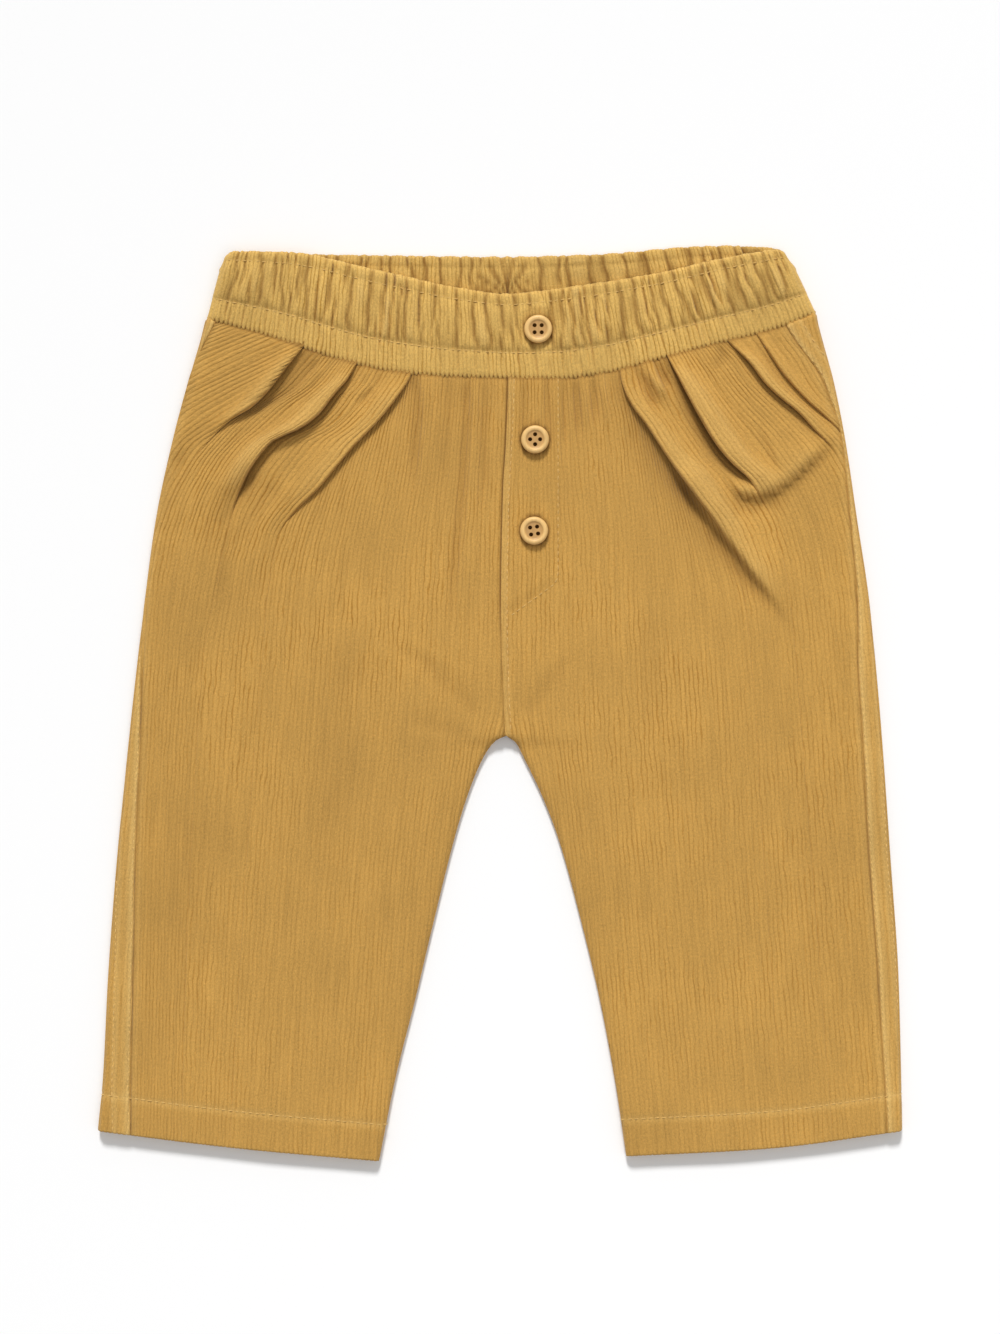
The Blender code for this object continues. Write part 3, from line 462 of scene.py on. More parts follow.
def gridFaces(rows, columns, start):
    index = start + np.arange(rows * columns).reshape(rows, columns)
    corners = (index[:-1, :-1], index[:-1, 1:], index[1:, 1:], index[1:, :-1])
    return index, np.stack(corners, -1).reshape(-1, 4).tolist()


def rimFaces(first, second, at):
    # joins a fine row of points to a plain one that has only the points listed in at
    faces = []
    for j, (start, stop) in enumerate(zip(at, at[1:])):
        middle = (start + stop) // 2
        faces += [(first[i], first[i + 1], second[j]) for i in range(start, middle)]
        faces.append((first[middle], second[j + 1], second[j]))
        faces += [(first[i], first[i + 1], second[j + 1]) for i in range(middle, stop)]
    return faces


def addValues(mesh, label, values):
    layer = mesh.attributes.new(label, "FLOAT", "POINT")
    layer.data.foreach_set("value", values.astype(np.float32))


def shell(name, fine, plain, kept, uv, wearAndHighlight, shade):
    # a closed wall between a fine grid and a plain one, which has only the kept columns
    rows, columns = fine.shape[:2]
    fineIndex, faces = gridFaces(rows, columns, 0)
    plainIndex, plainFaces = gridFaces(rows, len(kept), rows * columns)
    faces += plainFaces
    for row in (0, -1):
        faces += rimFaces(fineIndex[row].tolist(), plainIndex[row].tolist(), kept)
    for column in (0, -1):
        along = list(range(rows))
        faces += rimFaces(fineIndex[:, column].tolist(), plainIndex[:, column].tolist(), along)
    points = np.concatenate([fine.reshape(-1, 3), plain[:, kept].reshape(-1, 3)]) * mm
    uvs = np.concatenate([uv.reshape(-1, 2), uv[:, kept].reshape(-1, 2)])
    inside = np.zeros(rows * len(kept))
    mesh = bpy.data.meshes.new(name)
    mesh.from_pydata(points.tolist(), [], faces)
    loops = np.zeros(len(mesh.loops), np.int32)
    mesh.loops.foreach_get("vertex_index", loops)
    layer = mesh.uv_layers.new(name="wales")
    layer.data.foreach_set("uv", uvs[loops].astype(np.float32).ravel())
    # the pale of wear and painted highlight, and the painted shade, kept on the points for the shader
    for label, values in (("wearAndHighlight", wearAndHighlight), ("shade", shade)):
        addValues(mesh, label, np.concatenate([values.reshape(-1), inside]))
    build = bmesh.new()
    build.from_mesh(mesh)
    bmesh.ops.remove_doubles(build, verts=build.verts, dist=weld)
    bmesh.ops.dissolve_degenerate(build, edges=build.edges, dist=weld / 4)
    bmesh.ops.recalc_face_normals(build, faces=build.faces)
    build.to_mesh(mesh)
    build.free()
    mesh.shade_smooth()
    mesh.set_sharp_from_angle(angle=math.radians(80))
    return mesh


def waleColumns(first, last):
    # places along the wale numbers, and the wales' own height at each
    places, heights = zip(*garment["waleShape"])
    whole = np.arange(math.floor(first), math.ceil(last))
    numbers = (whole[:, None] + np.array(places)).ravel()
    share = np.tile(heights, len(whole))
    return np.append(numbers, math.ceil(last)), np.append(share, 0.0)


def pathDistance(x, y, path):
    # each point's distance from a line, above 0 on its left, and its place along it, 0 to 1
    best = np.full(x.shape, 1e9)
    where, side = np.zeros(x.shape), np.ones(x.shape)
    spots = np.array([(across, height) for height, across in path], float)
    lengths = np.linalg.norm(np.diff(spots, axis=0), axis=1)
    start = np.concatenate([[0], np.cumsum(lengths)])
    for i, (a, b) in enumerate(zip(spots, spots[1:])):
        d = b - a
        t = np.clip(((x - a[0]) * d[0] + (y - a[1]) * d[1]) / (d @ d), 0, 1)
        gap = np.hypot(x - a[0] - t * d[0], y - a[1] - t * d[1])
        nearer = gap < best
        best = np.where(nearer, gap, best)
        where = np.where(nearer, (start[i] + t * lengths[i]) / start[-1], where)
        turn = d[0] * (y - a[1]) - d[1] * (x - a[0])
        side = np.where(nearer, np.where(turn < 0, -1.0, 1.0), side)
    return best * side, where


def creaseLift(creases, across, height):
    # how far the creases raise the cloth, and the painted shade they leave in their hollows
    lift, shade = np.zeros(across.shape), np.zeros(across.shape)
    for kind, width, rise, path in creases:
        away, where = pathDistance(across, height, path)
        fade = 0.08 + 0.92 * ease(where, 0, 0.14) * (1 - ease(where, 0.65, 1))
        if kind == "soft":
            ridge = rise * fade * bell(away, width)
            lift += ridge
            shade += 0.15 * np.maximum(-ridge, 0)
            continue
        up, down = np.maximum(away, 0), np.maximum(-away, 0)
        step = 1 / (1 + np.exp(np.clip(-away / (0.12 * width), -30, 30)))
        lift += rise * fade * step * bell(up, 2.4 * width)
        hollow = rise * fade * (1 - step) * bell(down, 0.9 * width)
        lift -= 0.3 * hollow
        shade += 0.15 * hollow
    return lift, shade


def newGroup(name, values):
    # a shader group whose inputs are the named values, and which gives colour, roughness, height
    group = bpy.data.node_groups.new(name, "ShaderNodeTree")
    for label, value in values.items():
        kind = "NodeSocketColor" if isinstance(value, tuple) else "NodeSocketFloat"
        group.interface.new_socket(label, in_out="INPUT", socket_type=kind).default_value = value
    group.interface.new_socket("Color", in_out="OUTPUT", socket_type="NodeSocketColor")
    for label in ("Roughness", "Height"):
        group.interface.new_socket(label, in_out="OUTPUT", socket_type="NodeSocketFloat")
    return group, group.nodes.new("NodeGroupInput").outputs, group.nodes.new("NodeGroupOutput").inputs


def addNode(tree, kind, settings=(), inputs=()):
    node = tree.nodes.new(kind)
    for key, value in dict(settings).items():
        setattr(node, key, value)
    for key, value in dict(inputs).items():
        if isinstance(value, bpy.types.NodeSocket):
            tree.links.new(value, node.inputs[key])
        else:
            node.inputs[key].default_value = value
    return node


def addMath(tree, operation, *values):
    return addNode(tree, "ShaderNodeMath", {"operation": operation}, enumerate(values)).outputs[0]


def addMix(tree, factor, first, second, blend="MIX"):
    node = addNode(tree, "ShaderNodeMix", {"data_type": "RGBA", "blend_type": blend})
    for socket, value in ((node.inputs[0], factor), (node.inputs[6], first), (node.inputs[7], second)):
        if isinstance(value, bpy.types.NodeSocket):
            tree.links.new(value, socket)
        else:
            socket.default_value = value
    return node.outputs[2]


def addRange(tree, value, low, high, toLow=0.0, toHigh=1.0):
    values = enumerate((value, low, high, toLow, toHigh))
    return addNode(tree, "ShaderNodeMapRange", {"interpolation_type": "SMOOTHSTEP"}, values).outputs[0]


def addNoise(tree, vector, scale, detail, rough, space="3D"):
    return addNode(
        tree, "ShaderNodeTexNoise", {"noise_dimensions": space},
        {"Vector": vector, "Scale": scale, "Detail": detail, "Roughness": rough},
    ).outputs[0]


def addStretch(tree, vector, scales):
    settings = {"operation": "MULTIPLY"}
    return addNode(tree, "ShaderNodeVectorMath", settings, {0: vector, 1: scales}).outputs[0]


def readAttribute(tree, name):
    return addNode(tree, "ShaderNodeAttribute", {"attribute_name": name}).outputs["Fac"]


def addTone(tree, colour, value):
    # the colour made darker or lighter by a value
    grey = addNode(tree, "ShaderNodeCombineColor", (), {0: value, 1: value, 2: value})
    return addMix(tree, 1.0, colour, grey.outputs[0], "MULTIPLY")


def finishGroup(tree, out, colour, rough, height):
    for label, value in (("Color", colour), ("Roughness", rough), ("Height", height)):
        tree.links.new(value, out[label])
    return tree


corduroyLook = {
    "Cloth": (0.545, 0.303, 0.072, 1),
    "Groove Shade": (0.385, 0.183, 0.028, 1),        # painted shade between the wales
    "Worn And Highlit": (0.700, 0.455, 0.150, 1),        # where the pile is worn pale, and painted highlight on ridges and raised edges
    "Painted Shade": (0.130, 0.054, 0.009, 1),          # painted shade in the hollows of the folds, seams and gathers
    "Groove Share": 0.6,
    "Streak": 0.3,                             # unevenness along the wales, then in fine dots,
    "Speckle": 0.6,                            # in wide patches and in coarse dots
    "Mottle": 0.44,
    "Grain": 0.34,
    "Wander": 1.1,                             # how far a wale strays from its line
}
bandLook = corduroyLook | {
    "Cloth": (0.65, 0.405, 0.111, 1),
    "Groove Shade": (0.43, 0.23, 0.042, 1),
    "Painted Shade": (0.21, 0.095, 0.016, 1),
    "Groove Share": 0.62,
    "Streak": 0.24,
    "Grain": 0.45,
}
clothShader = {
    "Sheen Weight": 0.25,
    "Sheen Roughness": 0.45,
    "Sheen Tint": (1.0, 0.86, 0.58, 1),
    "Specular IOR Level": 0.2,
}
clothBump = (0.8, 0.35)        # strength, and distance in millimetres


def pileGroup():
    # short cut pile: painted shade between the wales, streaked along them, speckled, worn pale and painted
    # with highlight on ridges
    group, given, out = newGroup("cutPile", corduroyLook)
    wales = addNode(group, "ShaderNodeUVMap", {"uv_map": "wales"}).outputs[0]
    place = addNode(group, "ShaderNodeTexCoord").outputs["Object"]
    spot = addNode(group, "ShaderNodeSeparateXYZ", (), {0: place}).outputs
    number = addNode(group, "ShaderNodeSeparateXYZ", (), {0: wales}).outputs[0]

    def calc(operation, *values):
        return addMath(group, operation, *values)

    def clothNoise(scales, detail, rough):
        return addNoise(group, addStretch(group, wales, scales), 1.0, detail, rough, "2D")

    stray = calc("SUBTRACT", clothNoise((0.45, 0.16, 1.0), 2.0, 0.6), 0.5)
    bent = calc("ADD", number, calc("MULTIPLY", stray, given["Wander"]))
    fromMiddle = calc("ABSOLUTE", calc("SUBTRACT", calc("FRACT", bent), 0.5))
    inGroove = addRange(group, fromMiddle, 0.28, 0.5)
    noises = {
        "Streak": clothNoise((1.0, 0.06, 1.0), 3.0, 0.6),
        "Speckle": clothNoise((5.0, 2.6, 1.0), 2.0, 0.7),
        "Mottle": addNoise(group, place, 22.0, 3.0, 0.55),
        "Grain": clothNoise((1.9, 1.7, 1.0), 2.0, 0.65),
    }
    value = 1.0
    for label, noise in noises.items():
        value = calc("ADD", calc("MULTIPLY", calc("SUBTRACT", noise, 0.5), given[label]), value)
    # painted light: the pile made paler towards the top and the +x side, fading out towards -x and
    # downwards
    paintedLight = calc("MULTIPLY", addRange(group, spot[0], -0.12, 0.0), addRange(group, spot[1], -0.04, 0.04))
    value = calc("ADD", value, calc("MULTIPLY", paintedLight, 0.06))

    # painted shade between the wales, stronger in some patches and higher up
    dark = calc("MULTIPLY", inGroove, given["Groove Share"])
    for factor in (
        addRange(group, noises["Mottle"], 0.36, 0.64, 0.1, 1.0),
        addRange(group, clothNoise((0.3, 0.11, 1.0), 3.0, 0.6), 0.34, 0.6, 0.25, 1.35),
        addRange(group, spot[1], -0.06, 0.09, 0.85, 1.35),
    ):
        dark = calc("MULTIPLY", dark, factor)
    colour = addMix(group, dark, given["Cloth"], given["Groove Shade"])
    # paler for wear and painted highlight on ridges and raised edges
    colour = addMix(group, readAttribute(group, "wearAndHighlight"), colour, given["Worn And Highlit"])
    # painted shade: a dark brown mixed in where the shade attribute marks folds, creases, gathers and
    # seams in shadow
    colour = addMix(group, readAttribute(group, "shade"), colour, given["Painted Shade"])
    fine = addNoise(group, place, 900.0, 2.0, 0.6)
    height = calc("ADD", calc("MULTIPLY", noises["Speckle"], 0.7), calc("MULTIPLY", fine, 0.5))
    height = calc("SUBTRACT", height, calc("MULTIPLY", inGroove, 0.4))
    return finishGroup(
        group, out, addTone(group, colour, value), addRange(group, fine, 0.2, 0.8, 0.82, 0.98), height
    )


def newMaterial(name, group, values, shaderValues, bump):
    # a material whose colour, roughness and bump come from a shared group
    material = bpy.data.materials.new(name)
    material.use_nodes = True
    tree = material.node_tree
    shader = tree.nodes["Principled BSDF"]
    effect = addNode(tree, "ShaderNodeGroup", {"node_tree": group}, values)
    tree.links.new(effect.outputs["Color"], shader.inputs["Base Color"])
    tree.links.new(effect.outputs["Roughness"], shader.inputs["Roughness"])
    strength, distance = bump
    raised = addNode(
        tree, "ShaderNodeBump", (),
        {"Strength": strength, "Distance": distance * mm, "Height": effect.outputs["Height"]},
    )
    tree.links.new(raised.outputs[0], shader.inputs["Normal"])
    for key, value in shaderValues.items():
        shader.inputs[key].default_value = value
    return material


cutPile = pileGroup()
corduroy = newMaterial("corduroy", cutPile, corduroyLook, clothShader, clothBump)
bandCorduroy = newMaterial("corduroyBand", cutPile, bandLook, clothShader, clothBump)
print("finishes made")


# the front panels are worked out in rows down from the waist seam, and in columns from the outer
# edge inwards, which follow the wales and turn under at the lip of each pleat
frontPanel = {
    "liftScale": 1.35,
    "trough": 0.45,            # how far the cloth dips before a pleat, as a share of its lift
    "freeStretch": (125.0, -158.0),   # the heights between which a middling column's rows are free
    "hipRow": 2.1,             # spacing of the rows of points at the hip, the crotch and the leg
    "crotchRow": 1.4,
    "legRow": 4.2,
    "nearTop": (-1.6, -0.9, 0.0, 0.6, 1.3, 2.2, 3.4, 4.8, 6.4, 8.2),
    "nearHem": (18.4, 17.2, 16.3, 15.5, 14.7, 13.8, 12.0, 9.0, 6.0, 3.4, 1.8, 0.8, 0.3, 0.0),
    "freeTop": 10.0,
    "freeHem": 20.0,
    "tuck": 1.1,               # how far the cloth goes on under a neighbour at a seam
    "tuckDip": 0.5,
    "bandDip": 1.1,            # how far it dips under the waistband
    "hemDip": 0.5,
    "lipGap": 0.06,            # between a lip's columns where the pleat has closed
    "stitchDip": 0.28,
    "hemPucker": 0.14,
    "heldPleats": 0.5,         # share of the pleats' and the creases' height left under the band
    "heldCreases": 0.35,
    "lapDip": 0.25,            # at the centre seam: dip of the half that goes under,
    "lapRoll": 0.3,            # and how far the edge of the half on top is rounded
    "waistWave": 0.35,         # small waves under the band, and wide ones over the whole panel
    "limpWave": 0.3,
    "flyRaise": 0.55,
    "flyWidth": 22.8,
    "flyStraight": 50.0,
    "flyEnd": 36.0,
    "innerColumns": 24,        # of the plain face inside the leg
    "leastWall": 0.6,
    "seamShadow": 0.75,        # how far the painted shade beside the centre seam reaches
    "seamDark": 0.5,           # painted shade: the shadow line under the band, and the shadow ring round a button
    "buttonDark": 0.9,
    # painted shade along the side seam
    "sideSeamDark": 0.4,
    "centreDark": (0.4, 0.9),  # painted shade beside the centre seam, at the crotch and from the fly upwards
    "foldPale": 0.28,          # how pale the pile is made on high folds, worn and with painted highlight, over the hem's stitches and on the hem's edge
    "hemPale": 0.3,            # stitches and on the hem's edge
    "edgePale": 0.12,
    "seamPale": (1.4, 1.6, 0.16),     # painted highlight beside the side and the centre seam: distance, width, how pale
    "centrePale": (1.3, 1.3, 0.32),   # how pale
}


def rowShares(top, low, settings):
    # shares of a column's free length, closer at the hip and at the crotch
    heights = [top]
    while heights[-1] > low:
        h = heights[-1]
        leg = settings["legRow"] if h < 20 else settings["hipRow"]
        near = bell(h - garment["crotchHeight"], 14)
        heights.append(h - (leg + (settings["crotchRow"] - leg) * near))
    heights = np.array(heights)
    return (heights[0] - heights) / (heights[0] - heights[-1])


def rowsDown(tops, hems, settings):
    freeTop, freeLow = tops - settings["freeTop"], hems + settings["freeHem"]
    shares = rowShares(*settings["freeStretch"], settings)[:, None]
    return np.vstack(
        [tops - down for down in settings["nearTop"]]
        + [freeTop + (freeLow - freeTop) * shares]
        + [hems + up for up in settings["nearHem"]]
    )


def waleLines(guides, lipBefore, lip, wales, height):
    # across of each wale, read between the guide lines on its two sides
    named = {"lip": lip, "lip before": lipBefore}
    numbers = np.array([number for number, _ in guides], float)
    lines = [(named[path] if isinstance(path, str) else curve(path))(height) for _, path in guides]
    steps = np.diff(numbers)
    slopes = [np.minimum(b - a, -0.01) / s for a, b, s in zip(lines, lines[1:], steps)]
    turns = [slopes[0]] + [2 * a * b / (a + b) for a, b in zip(slopes, slopes[1:])] + [slopes[-1]]
    across = np.zeros(height.shape)
    which = np.clip(np.searchsorted(numbers, wales, side="right") - 1, 0, len(steps) - 1)
    for i, step in enumerate(steps):
        mine = which == i
        t = ((wales[mine] - numbers[i]) / step)[None, :]
        ends = (each[:, mine] for each in (lines[i], lines[i + 1], turns[i], turns[i + 1]))
        across[:, mine] = bend(t, step, *ends)
    return across


# columns round the lip of a pleat: share of the reach under it, of the lift and of the painted shade
noseColumns = ((0.0, 0.55, 0.3), (0.12, 0.25, 0.75), (0.5, 0.1, 1.0), (1.0, 0.0, 1.0))
underShares, liftShares, darkShares = np.array(noseColumns).T


def lipPlace(lip, height, column, share):
    # across of a column round a lip: under it while the pleat is open, and side by side below
    under = lip[4](height)
    apart = frontPanel["lipGap"] * (1 - ease(under, 0, 0.4))
    return lip[0](height) + share * under - apart * column


def frontColumns(half, height, columns, settings):
    # across of every column, and which points are held back by a seam, an edge or a lip
    outer = half.edge(height) - half.seamIn(height) + settings["tuck"] * half.stripShare(height)
    inner = half.inner(height, settings["tuck"] if half.side < 0 else 0.05)
    across = np.zeros(height.shape)
    held = np.zeros(height.shape, bool)
    for kind, zone, at, wales in columns:
        h = height[:, at]
        lip = half.pleats[zone] if zone < len(half.pleats) else None
        before = half.pleats[zone - 1] if zone else None
        if kind == "wales":
            free = waleLines(half.wales[zone], before and before[0], lip and lip[0], wales, h)
            high = lipPlace(before, h, len(noseColumns), 1.0) if before else outer[:, at]
            low = lip[0](h) if lip else inner[:, at]
            x = np.clip(free, low, high)
        else:
            free = x = lipPlace(lip, h, np.arange(len(noseColumns)), underShares)
        x = np.clip(x, inner[:, at], outer[:, at])
        across[:, at] = x
        held[:, at] = np.abs(x - free) > 1e-6
    return across, held


def frontLayout(half):
    # the panel's columns from the outside in: stretches of wales with a lip between them
    columns, numbers, shapes, count = [], [], [], 0
    for zone, guides in enumerate(half.wales):
        wales, shape = waleColumns(guides[0][0], guides[-1][0])
        columns.append(("wales", zone, slice(count, count + len(wales)), wales))
        count += len(wales)
        numbers.append(wales)
        shapes.append(shape)
        if zone < len(half.pleats):
            turn = len(noseColumns)
            columns.append(("lip", zone, slice(count, count + turn), None))
            count += turn
            numbers.append(np.full(turn, wales[-1]))
            shapes.append(np.zeros(turn))
    return columns, np.concatenate(numbers), np.concatenate(shapes)


def pleatLift(half, height, across, columns):
    # how far the pleats raise the cloth, point by point
    lift = np.zeros(across.shape)
    for kind, zone, at, _ in columns:
        h, x = height[:, at], across[:, at]
        if kind == "lip":
            lift[:, at] += frontPanel["liftScale"] * half.pleats[zone][1](h) * liftShares
            continue
        if zone < len(half.pleats):
            lip, raised, roll = (c(h) for c in half.pleats[zone][:3])
            back = np.maximum(x - lip, 0)
            nose = 0.55 + 0.45 * rounding(back, np.minimum(1.3, roll * 0.2))
            fall = 1 - ease(back, 0.35 * roll, 1.9 * roll)
            clear = 1.0
            if zone:
                clear = ease(half.pleats[zone - 1][0](h) - x, -1.0, 5.0)
            lift[:, at] += frontPanel["liftScale"] * raised * nose * fall * clear
        if zone:
            lip, raised, _, pocket = (c(h) for c in half.pleats[zone - 1][:4])
            before = np.maximum(lip - x, 0)
            trough = np.minimum(frontPanel["trough"] * raised, 1.5)
            lift[:, at] -= trough * bell(before, pocket + 1.2)
    return lift


buttonShape = {
    "radius": 5.6,
    "thick": 2.4,
    "waist": 1.25,             # height of the widest ring, rounded to the foot and to the rim
    "footRound": 1.3,
    "rimRound": 1.15,
    "dish": 3.5,               # its radius, and the steps down into it
    "dishCurve": ((0.75, 0.02), (0.4, 0.1), (0.15, 0.28), (-0.05, 0.5), (-0.35, 0.64), (-0.9, 0.7)),
    "dishDepth": 0.72,
    "dishFlat": 1.2,
    "hole": 0.72,
    "holeFlare": 0.88,
    "flareDrops": (1.0, 0.68),   # below the rim, where the hole opens and where it is widest
    "spacing": 2.8,
    "sides": 96,
    "pinSides": 28,
}
buttonPlaces = (               # CAD node, x, height, rest above the leg, turn of the holes
    ("button_waist", 15.2, 149.4, None, 0.0),
    ("button_fly_top", 14.0, 105.4, 0.9, 45.0),
    ("button_fly_bottom", 13.6, 69.0, 0.9, 8.0),
)


def besideButtons(x, y):
    # 1 on the cloth under a button and next to its edge, 0 further out
    radius = buttonShape["radius"]
    gaps = [np.hypot(x - place[1], y - place[2]) for place in buttonPlaces]
    return sum(1 - ease(gap, radius - 0.2, radius + 1.4) for gap in gaps)


def flyLift(across, height, settings):
    # the second layer of the mock fly, whose lower end slants to the centre seam
    seam = centreSeam(height)
    low, straight = settings["flyEnd"], settings["flyStraight"]
    slant = np.clip((height - low) / (straight - low), 0, 1)
    width = settings["flyWidth"] * slant
    edge = 1 - ease(across - seam, width - 1.4, width + 0.6)
    return settings["flyRaise"] * edge * ease(slant, 0, 0.25)


def seamPucker(along, seed, reach, toSeam):
    # the small gathers that a row of stitches draws up beside a seam
    return garment["pucker"] * ripple(along, seed, 5.6) * bell(toSeam, reach)


def stitchDips(distance, rows, depth=0.24, width=0.55):
    # the grooves that rows of stitches press into the cloth
    return -depth * sum(bell(distance - row, width) for row in rows)


def solveHeights(settings, count, columnsAt, topAt, hemAt):
    # heights and across depend on each other, so they are worked out in turns from a first guess
    tops, hems = np.full(count, 145.0), np.full(count, -178.0)
    for _ in range(10):
        height = rowsDown(tops, hems, settings)
        across, extra = columnsAt(height)
        tops = (tops + topAt(across, extra)) / 2
        hems = hemAt(across)
    return height, across, extra


upward = np.array((0.0, 0.0, 1.0))


def textured(points, facing, shapes, held, depth):
    # the wales' relief, inwards along the cloth's own normals
    normal = np.cross(np.gradient(points, axis=1), np.gradient(points, axis=0))
    length = np.linalg.norm(normal, axis=-1, keepdims=True)
    flat = (length[..., 0] < 1e-3) | held
    unit = np.where(flat[..., None], facing, normal / np.maximum(length, 1e-9))
    away = np.sum(unit * facing, axis=-1, keepdims=True) < -0.2
    unit = np.where(away, -unit, unit)
    relief = np.where(held, -1.0, shapes - 1.0) * depth
    return points + unit * relief[..., None]


def keepBelow(face, limit, kept):
    # lowers a plain face at its kept columns so that it clears all of the fine one between
    ready = face.copy()
    for j, column in enumerate(kept):
        start, stop = kept[max(j - 1, 0)], kept[min(j + 1, len(kept) - 1)] + 1
        ready[:, column] = np.minimum(face[:, column], limit[:, start:stop].min(axis=1))
    return ready


def evenColumns(count, number, more=()):
    return [int(k) for k in sorted(set(np.linspace(0, count - 1, number).astype(int)) | set(more))]


def frontLift(half, at, columns, settings):
    # how far the cloth stands off its level, its folds alone, and the painted shade of the creases
    pleats = pleatLift(half, at.height, at.across, columns)
    creased, hollows = creaseLift(half.creases, at.across, at.height)
    held, heldLess = settings["heldPleats"], settings["heldCreases"]
    folds = pleats * (held + (1 - held) * ease(at.belowBand, 0, 10))
    folds += creased * (heldLess + (1 - heldLess) * ease(at.belowBand, 0, 9))
    lift = folds + settings["waistWave"] * ripple(at.x, 5, 7.0) * (1 - ease(at.belowBand, 2, 16))
    limp = ripple(at.across + 0.35 * at.height, 17, 62.0) * ripple(at.height - 0.2 * at.across, 18, 88.0)
    lift += settings["limpWave"] * limp
    centre = 1 - at.legs
    pucker = seamPucker(at.height, 3, 7.0, at.toSeam)
    lift += pucker + centre * seamPucker(at.height, 4, 5.0, at.toCentre)
    if half.side > 0:
        lift += flyLift(at.across, at.height, settings)
        lift += centre * stitchDips(at.toCentre, (garment["centreStitch"],), 0.3)
    lift -= half.stripShare(at.height) * settings["tuckDip"] * (1 - ease(at.toSeam, -0.6, 0.9))
    lift -= settings["bandDip"] * (1 - ease(at.belowBand, -0.8, 0.9))
    if half.side < 0:
        lift -= centre * settings["lapDip"] * (1 - ease(at.toCentre, -0.5, 0.6))
    else:
        lift -= centre * settings["lapRoll"] * ease(at.height, 20, 70) * (1 - rounding(at.toCentre, 0.5))
    lift += stitchDips(at.aboveHem, (garment["hemStitch"],), settings["stitchDip"], 0.8)
    lift += settings["hemPucker"] * ripple(at.across, 8, 5.5) * bell(at.aboveHem - 15.5, 4)
    lift -= settings["hemDip"] * (1 - rounding(at.aboveHem, 0.9))
    return lift, folds, hollows


def frontShade(half, at, columns, hollows, settings):
    # painted shade in the pleats and creases, under the band, along the seams and round the buttons
    shade = pleatShade(half, at.height, at.across, columns) + hollows
    shade += settings["seamDark"] * (1 - ease(at.belowBand, -0.2, 1.5))
    shade += settings["buttonDark"] * besideButtons(at.x, at.height)
    shade += settings["sideSeamDark"] * half.stripShare(at.height) * bell(at.toSeam, 0.7)
    if half.side < 0:
        low, high = settings["centreDark"]
        dark = low + (high - low) * ease(at.height, 20, 42)
        shade += (1 - at.legs) * dark * bell(at.toCentre, settings["seamShadow"])
    return np.clip(shade, 0, 1)


def frontPanelMesh(name, half, settings):
    columns, numbers, shapes = frontLayout(half)
    height, across, held = solveHeights(
        settings,
        len(numbers),
        lambda height: frontColumns(half, height, columns, settings),
        lambda across, held: frontSeam(half.side * across[2]),
        lambda across: half.hem(across[-1]),
    )
    at = PanelPoints(half, across, height, frontSeam)
    level = half.thickness(across, height)
    wall = half.wall(across, height, frontSeam)
    middle = edgeThickness(height) / 2
    lift, folds, hollows = frontLift(half, at, columns, settings)
    foldRound = garment["foldRound"]
    share = rounding(at.fromEdge, foldRound) * (1 - at.legs * (1 - rounding(at.fromInner, foldRound)))
    upper = middle + (level + lift - middle) * share
    for kind, _, turn, _ in columns:
        if kind == "lip":
            held[:, turn.start - 1:turn.stop + 1] = True
    fine = np.stack([at.x, height, upper], axis=-1)
    fine = textured(fine, upward, shapes, held, garment["waleDepth"])

    lower = middle + (level - wall - middle) * share
    lower = np.minimum(lower, upper - settings["leastWall"])
    kept = evenColumns(len(numbers), settings["innerColumns"])
    lower = keepBelow(lower, np.where(share > 0.98, upper - settings["leastWall"], np.inf), kept)
    nearInner, nearEdge = (np.clip(1 - away / foldRound, 0, 1) for away in (at.fromInner, at.fromEdge))
    inwards = wall * (nearInner * at.legs - nearEdge)
    plain = np.stack([half.side * (across + inwards), height, lower], axis=-1)
    seams = [(at.toSeam, *settings["seamPale"])]
    if half.side > 0:
        away, width, pale = settings["centrePale"]
        seams.append((at.toCentre, away, width, pale * (1 - at.legs)))
    wearAndHighlight = ridgeWearAndHighlight(folds, at.aboveHem, seams)
    shade = frontShade(half, at, columns, hollows, settings)
    return shell(name, fine, plain, kept, waleUvs(numbers, height), wearAndHighlight, shade)


def pleatShade(half, height, across, columns):
    # how much painted shade each point gets in the hollow beside a pleat, 0 on the open cloth
    shade = np.zeros(across.shape)
    for kind, zone, at, _ in columns:
        h, x = height[:, at], across[:, at]
        if kind == "lip":
            deepShade = half.darkness[zone] * ease(half.pleats[zone][1](h), 0.3, 1.6)
            shade[:, at] = deepShade * darkShares
        elif zone:
            lip, raised, _, pocket = (c(h) for c in half.pleats[zone - 1][:4])
            before = np.maximum(lip - x, 0)
            deepShade = half.darkness[zone - 1] * ease(raised, 0.3, 2.0)
            shade[:, at] = deepShade * bell(before, pocket + 0.8)
    return shade


def waleUvs(numbers, height):
    along = -height / garment["walePitch"]
    return np.stack([np.broadcast_to(numbers, height.shape), along], axis=-1)


def ridgeWearAndHighlight(folds, aboveHem, seams):
    # how pale the pile is, for wear and painted highlight: on high folds, along the hem's stitches
    # and beside the seams, which are given as distance, place of the pale line, its width and how pale it
    # is
    high = frontPanel["foldPale"] * ease(folds, 0.9, 3.0)
    hem = frontPanel["hemPale"] * bell(aboveHem - garment["hemStitch"], 1.4)
    edge = frontPanel["edgePale"] * (1 - ease(aboveHem, 0, 1.6))
    lines = [pale * bell(away - place, width) for away, place, width, pale in seams]
    return np.clip(high + hem + edge + sum(lines), 0, 1)


frontPieces = {}
for name, half in (("front_right", right), ("front_left", left)):
    mesh = frontPanelMesh(name, half, frontPanel)
    frontPieces[name] = addPiece(name + "_cloth", mesh, corduroy, (name,))
    print(name, len(mesh.polygons), "faces")


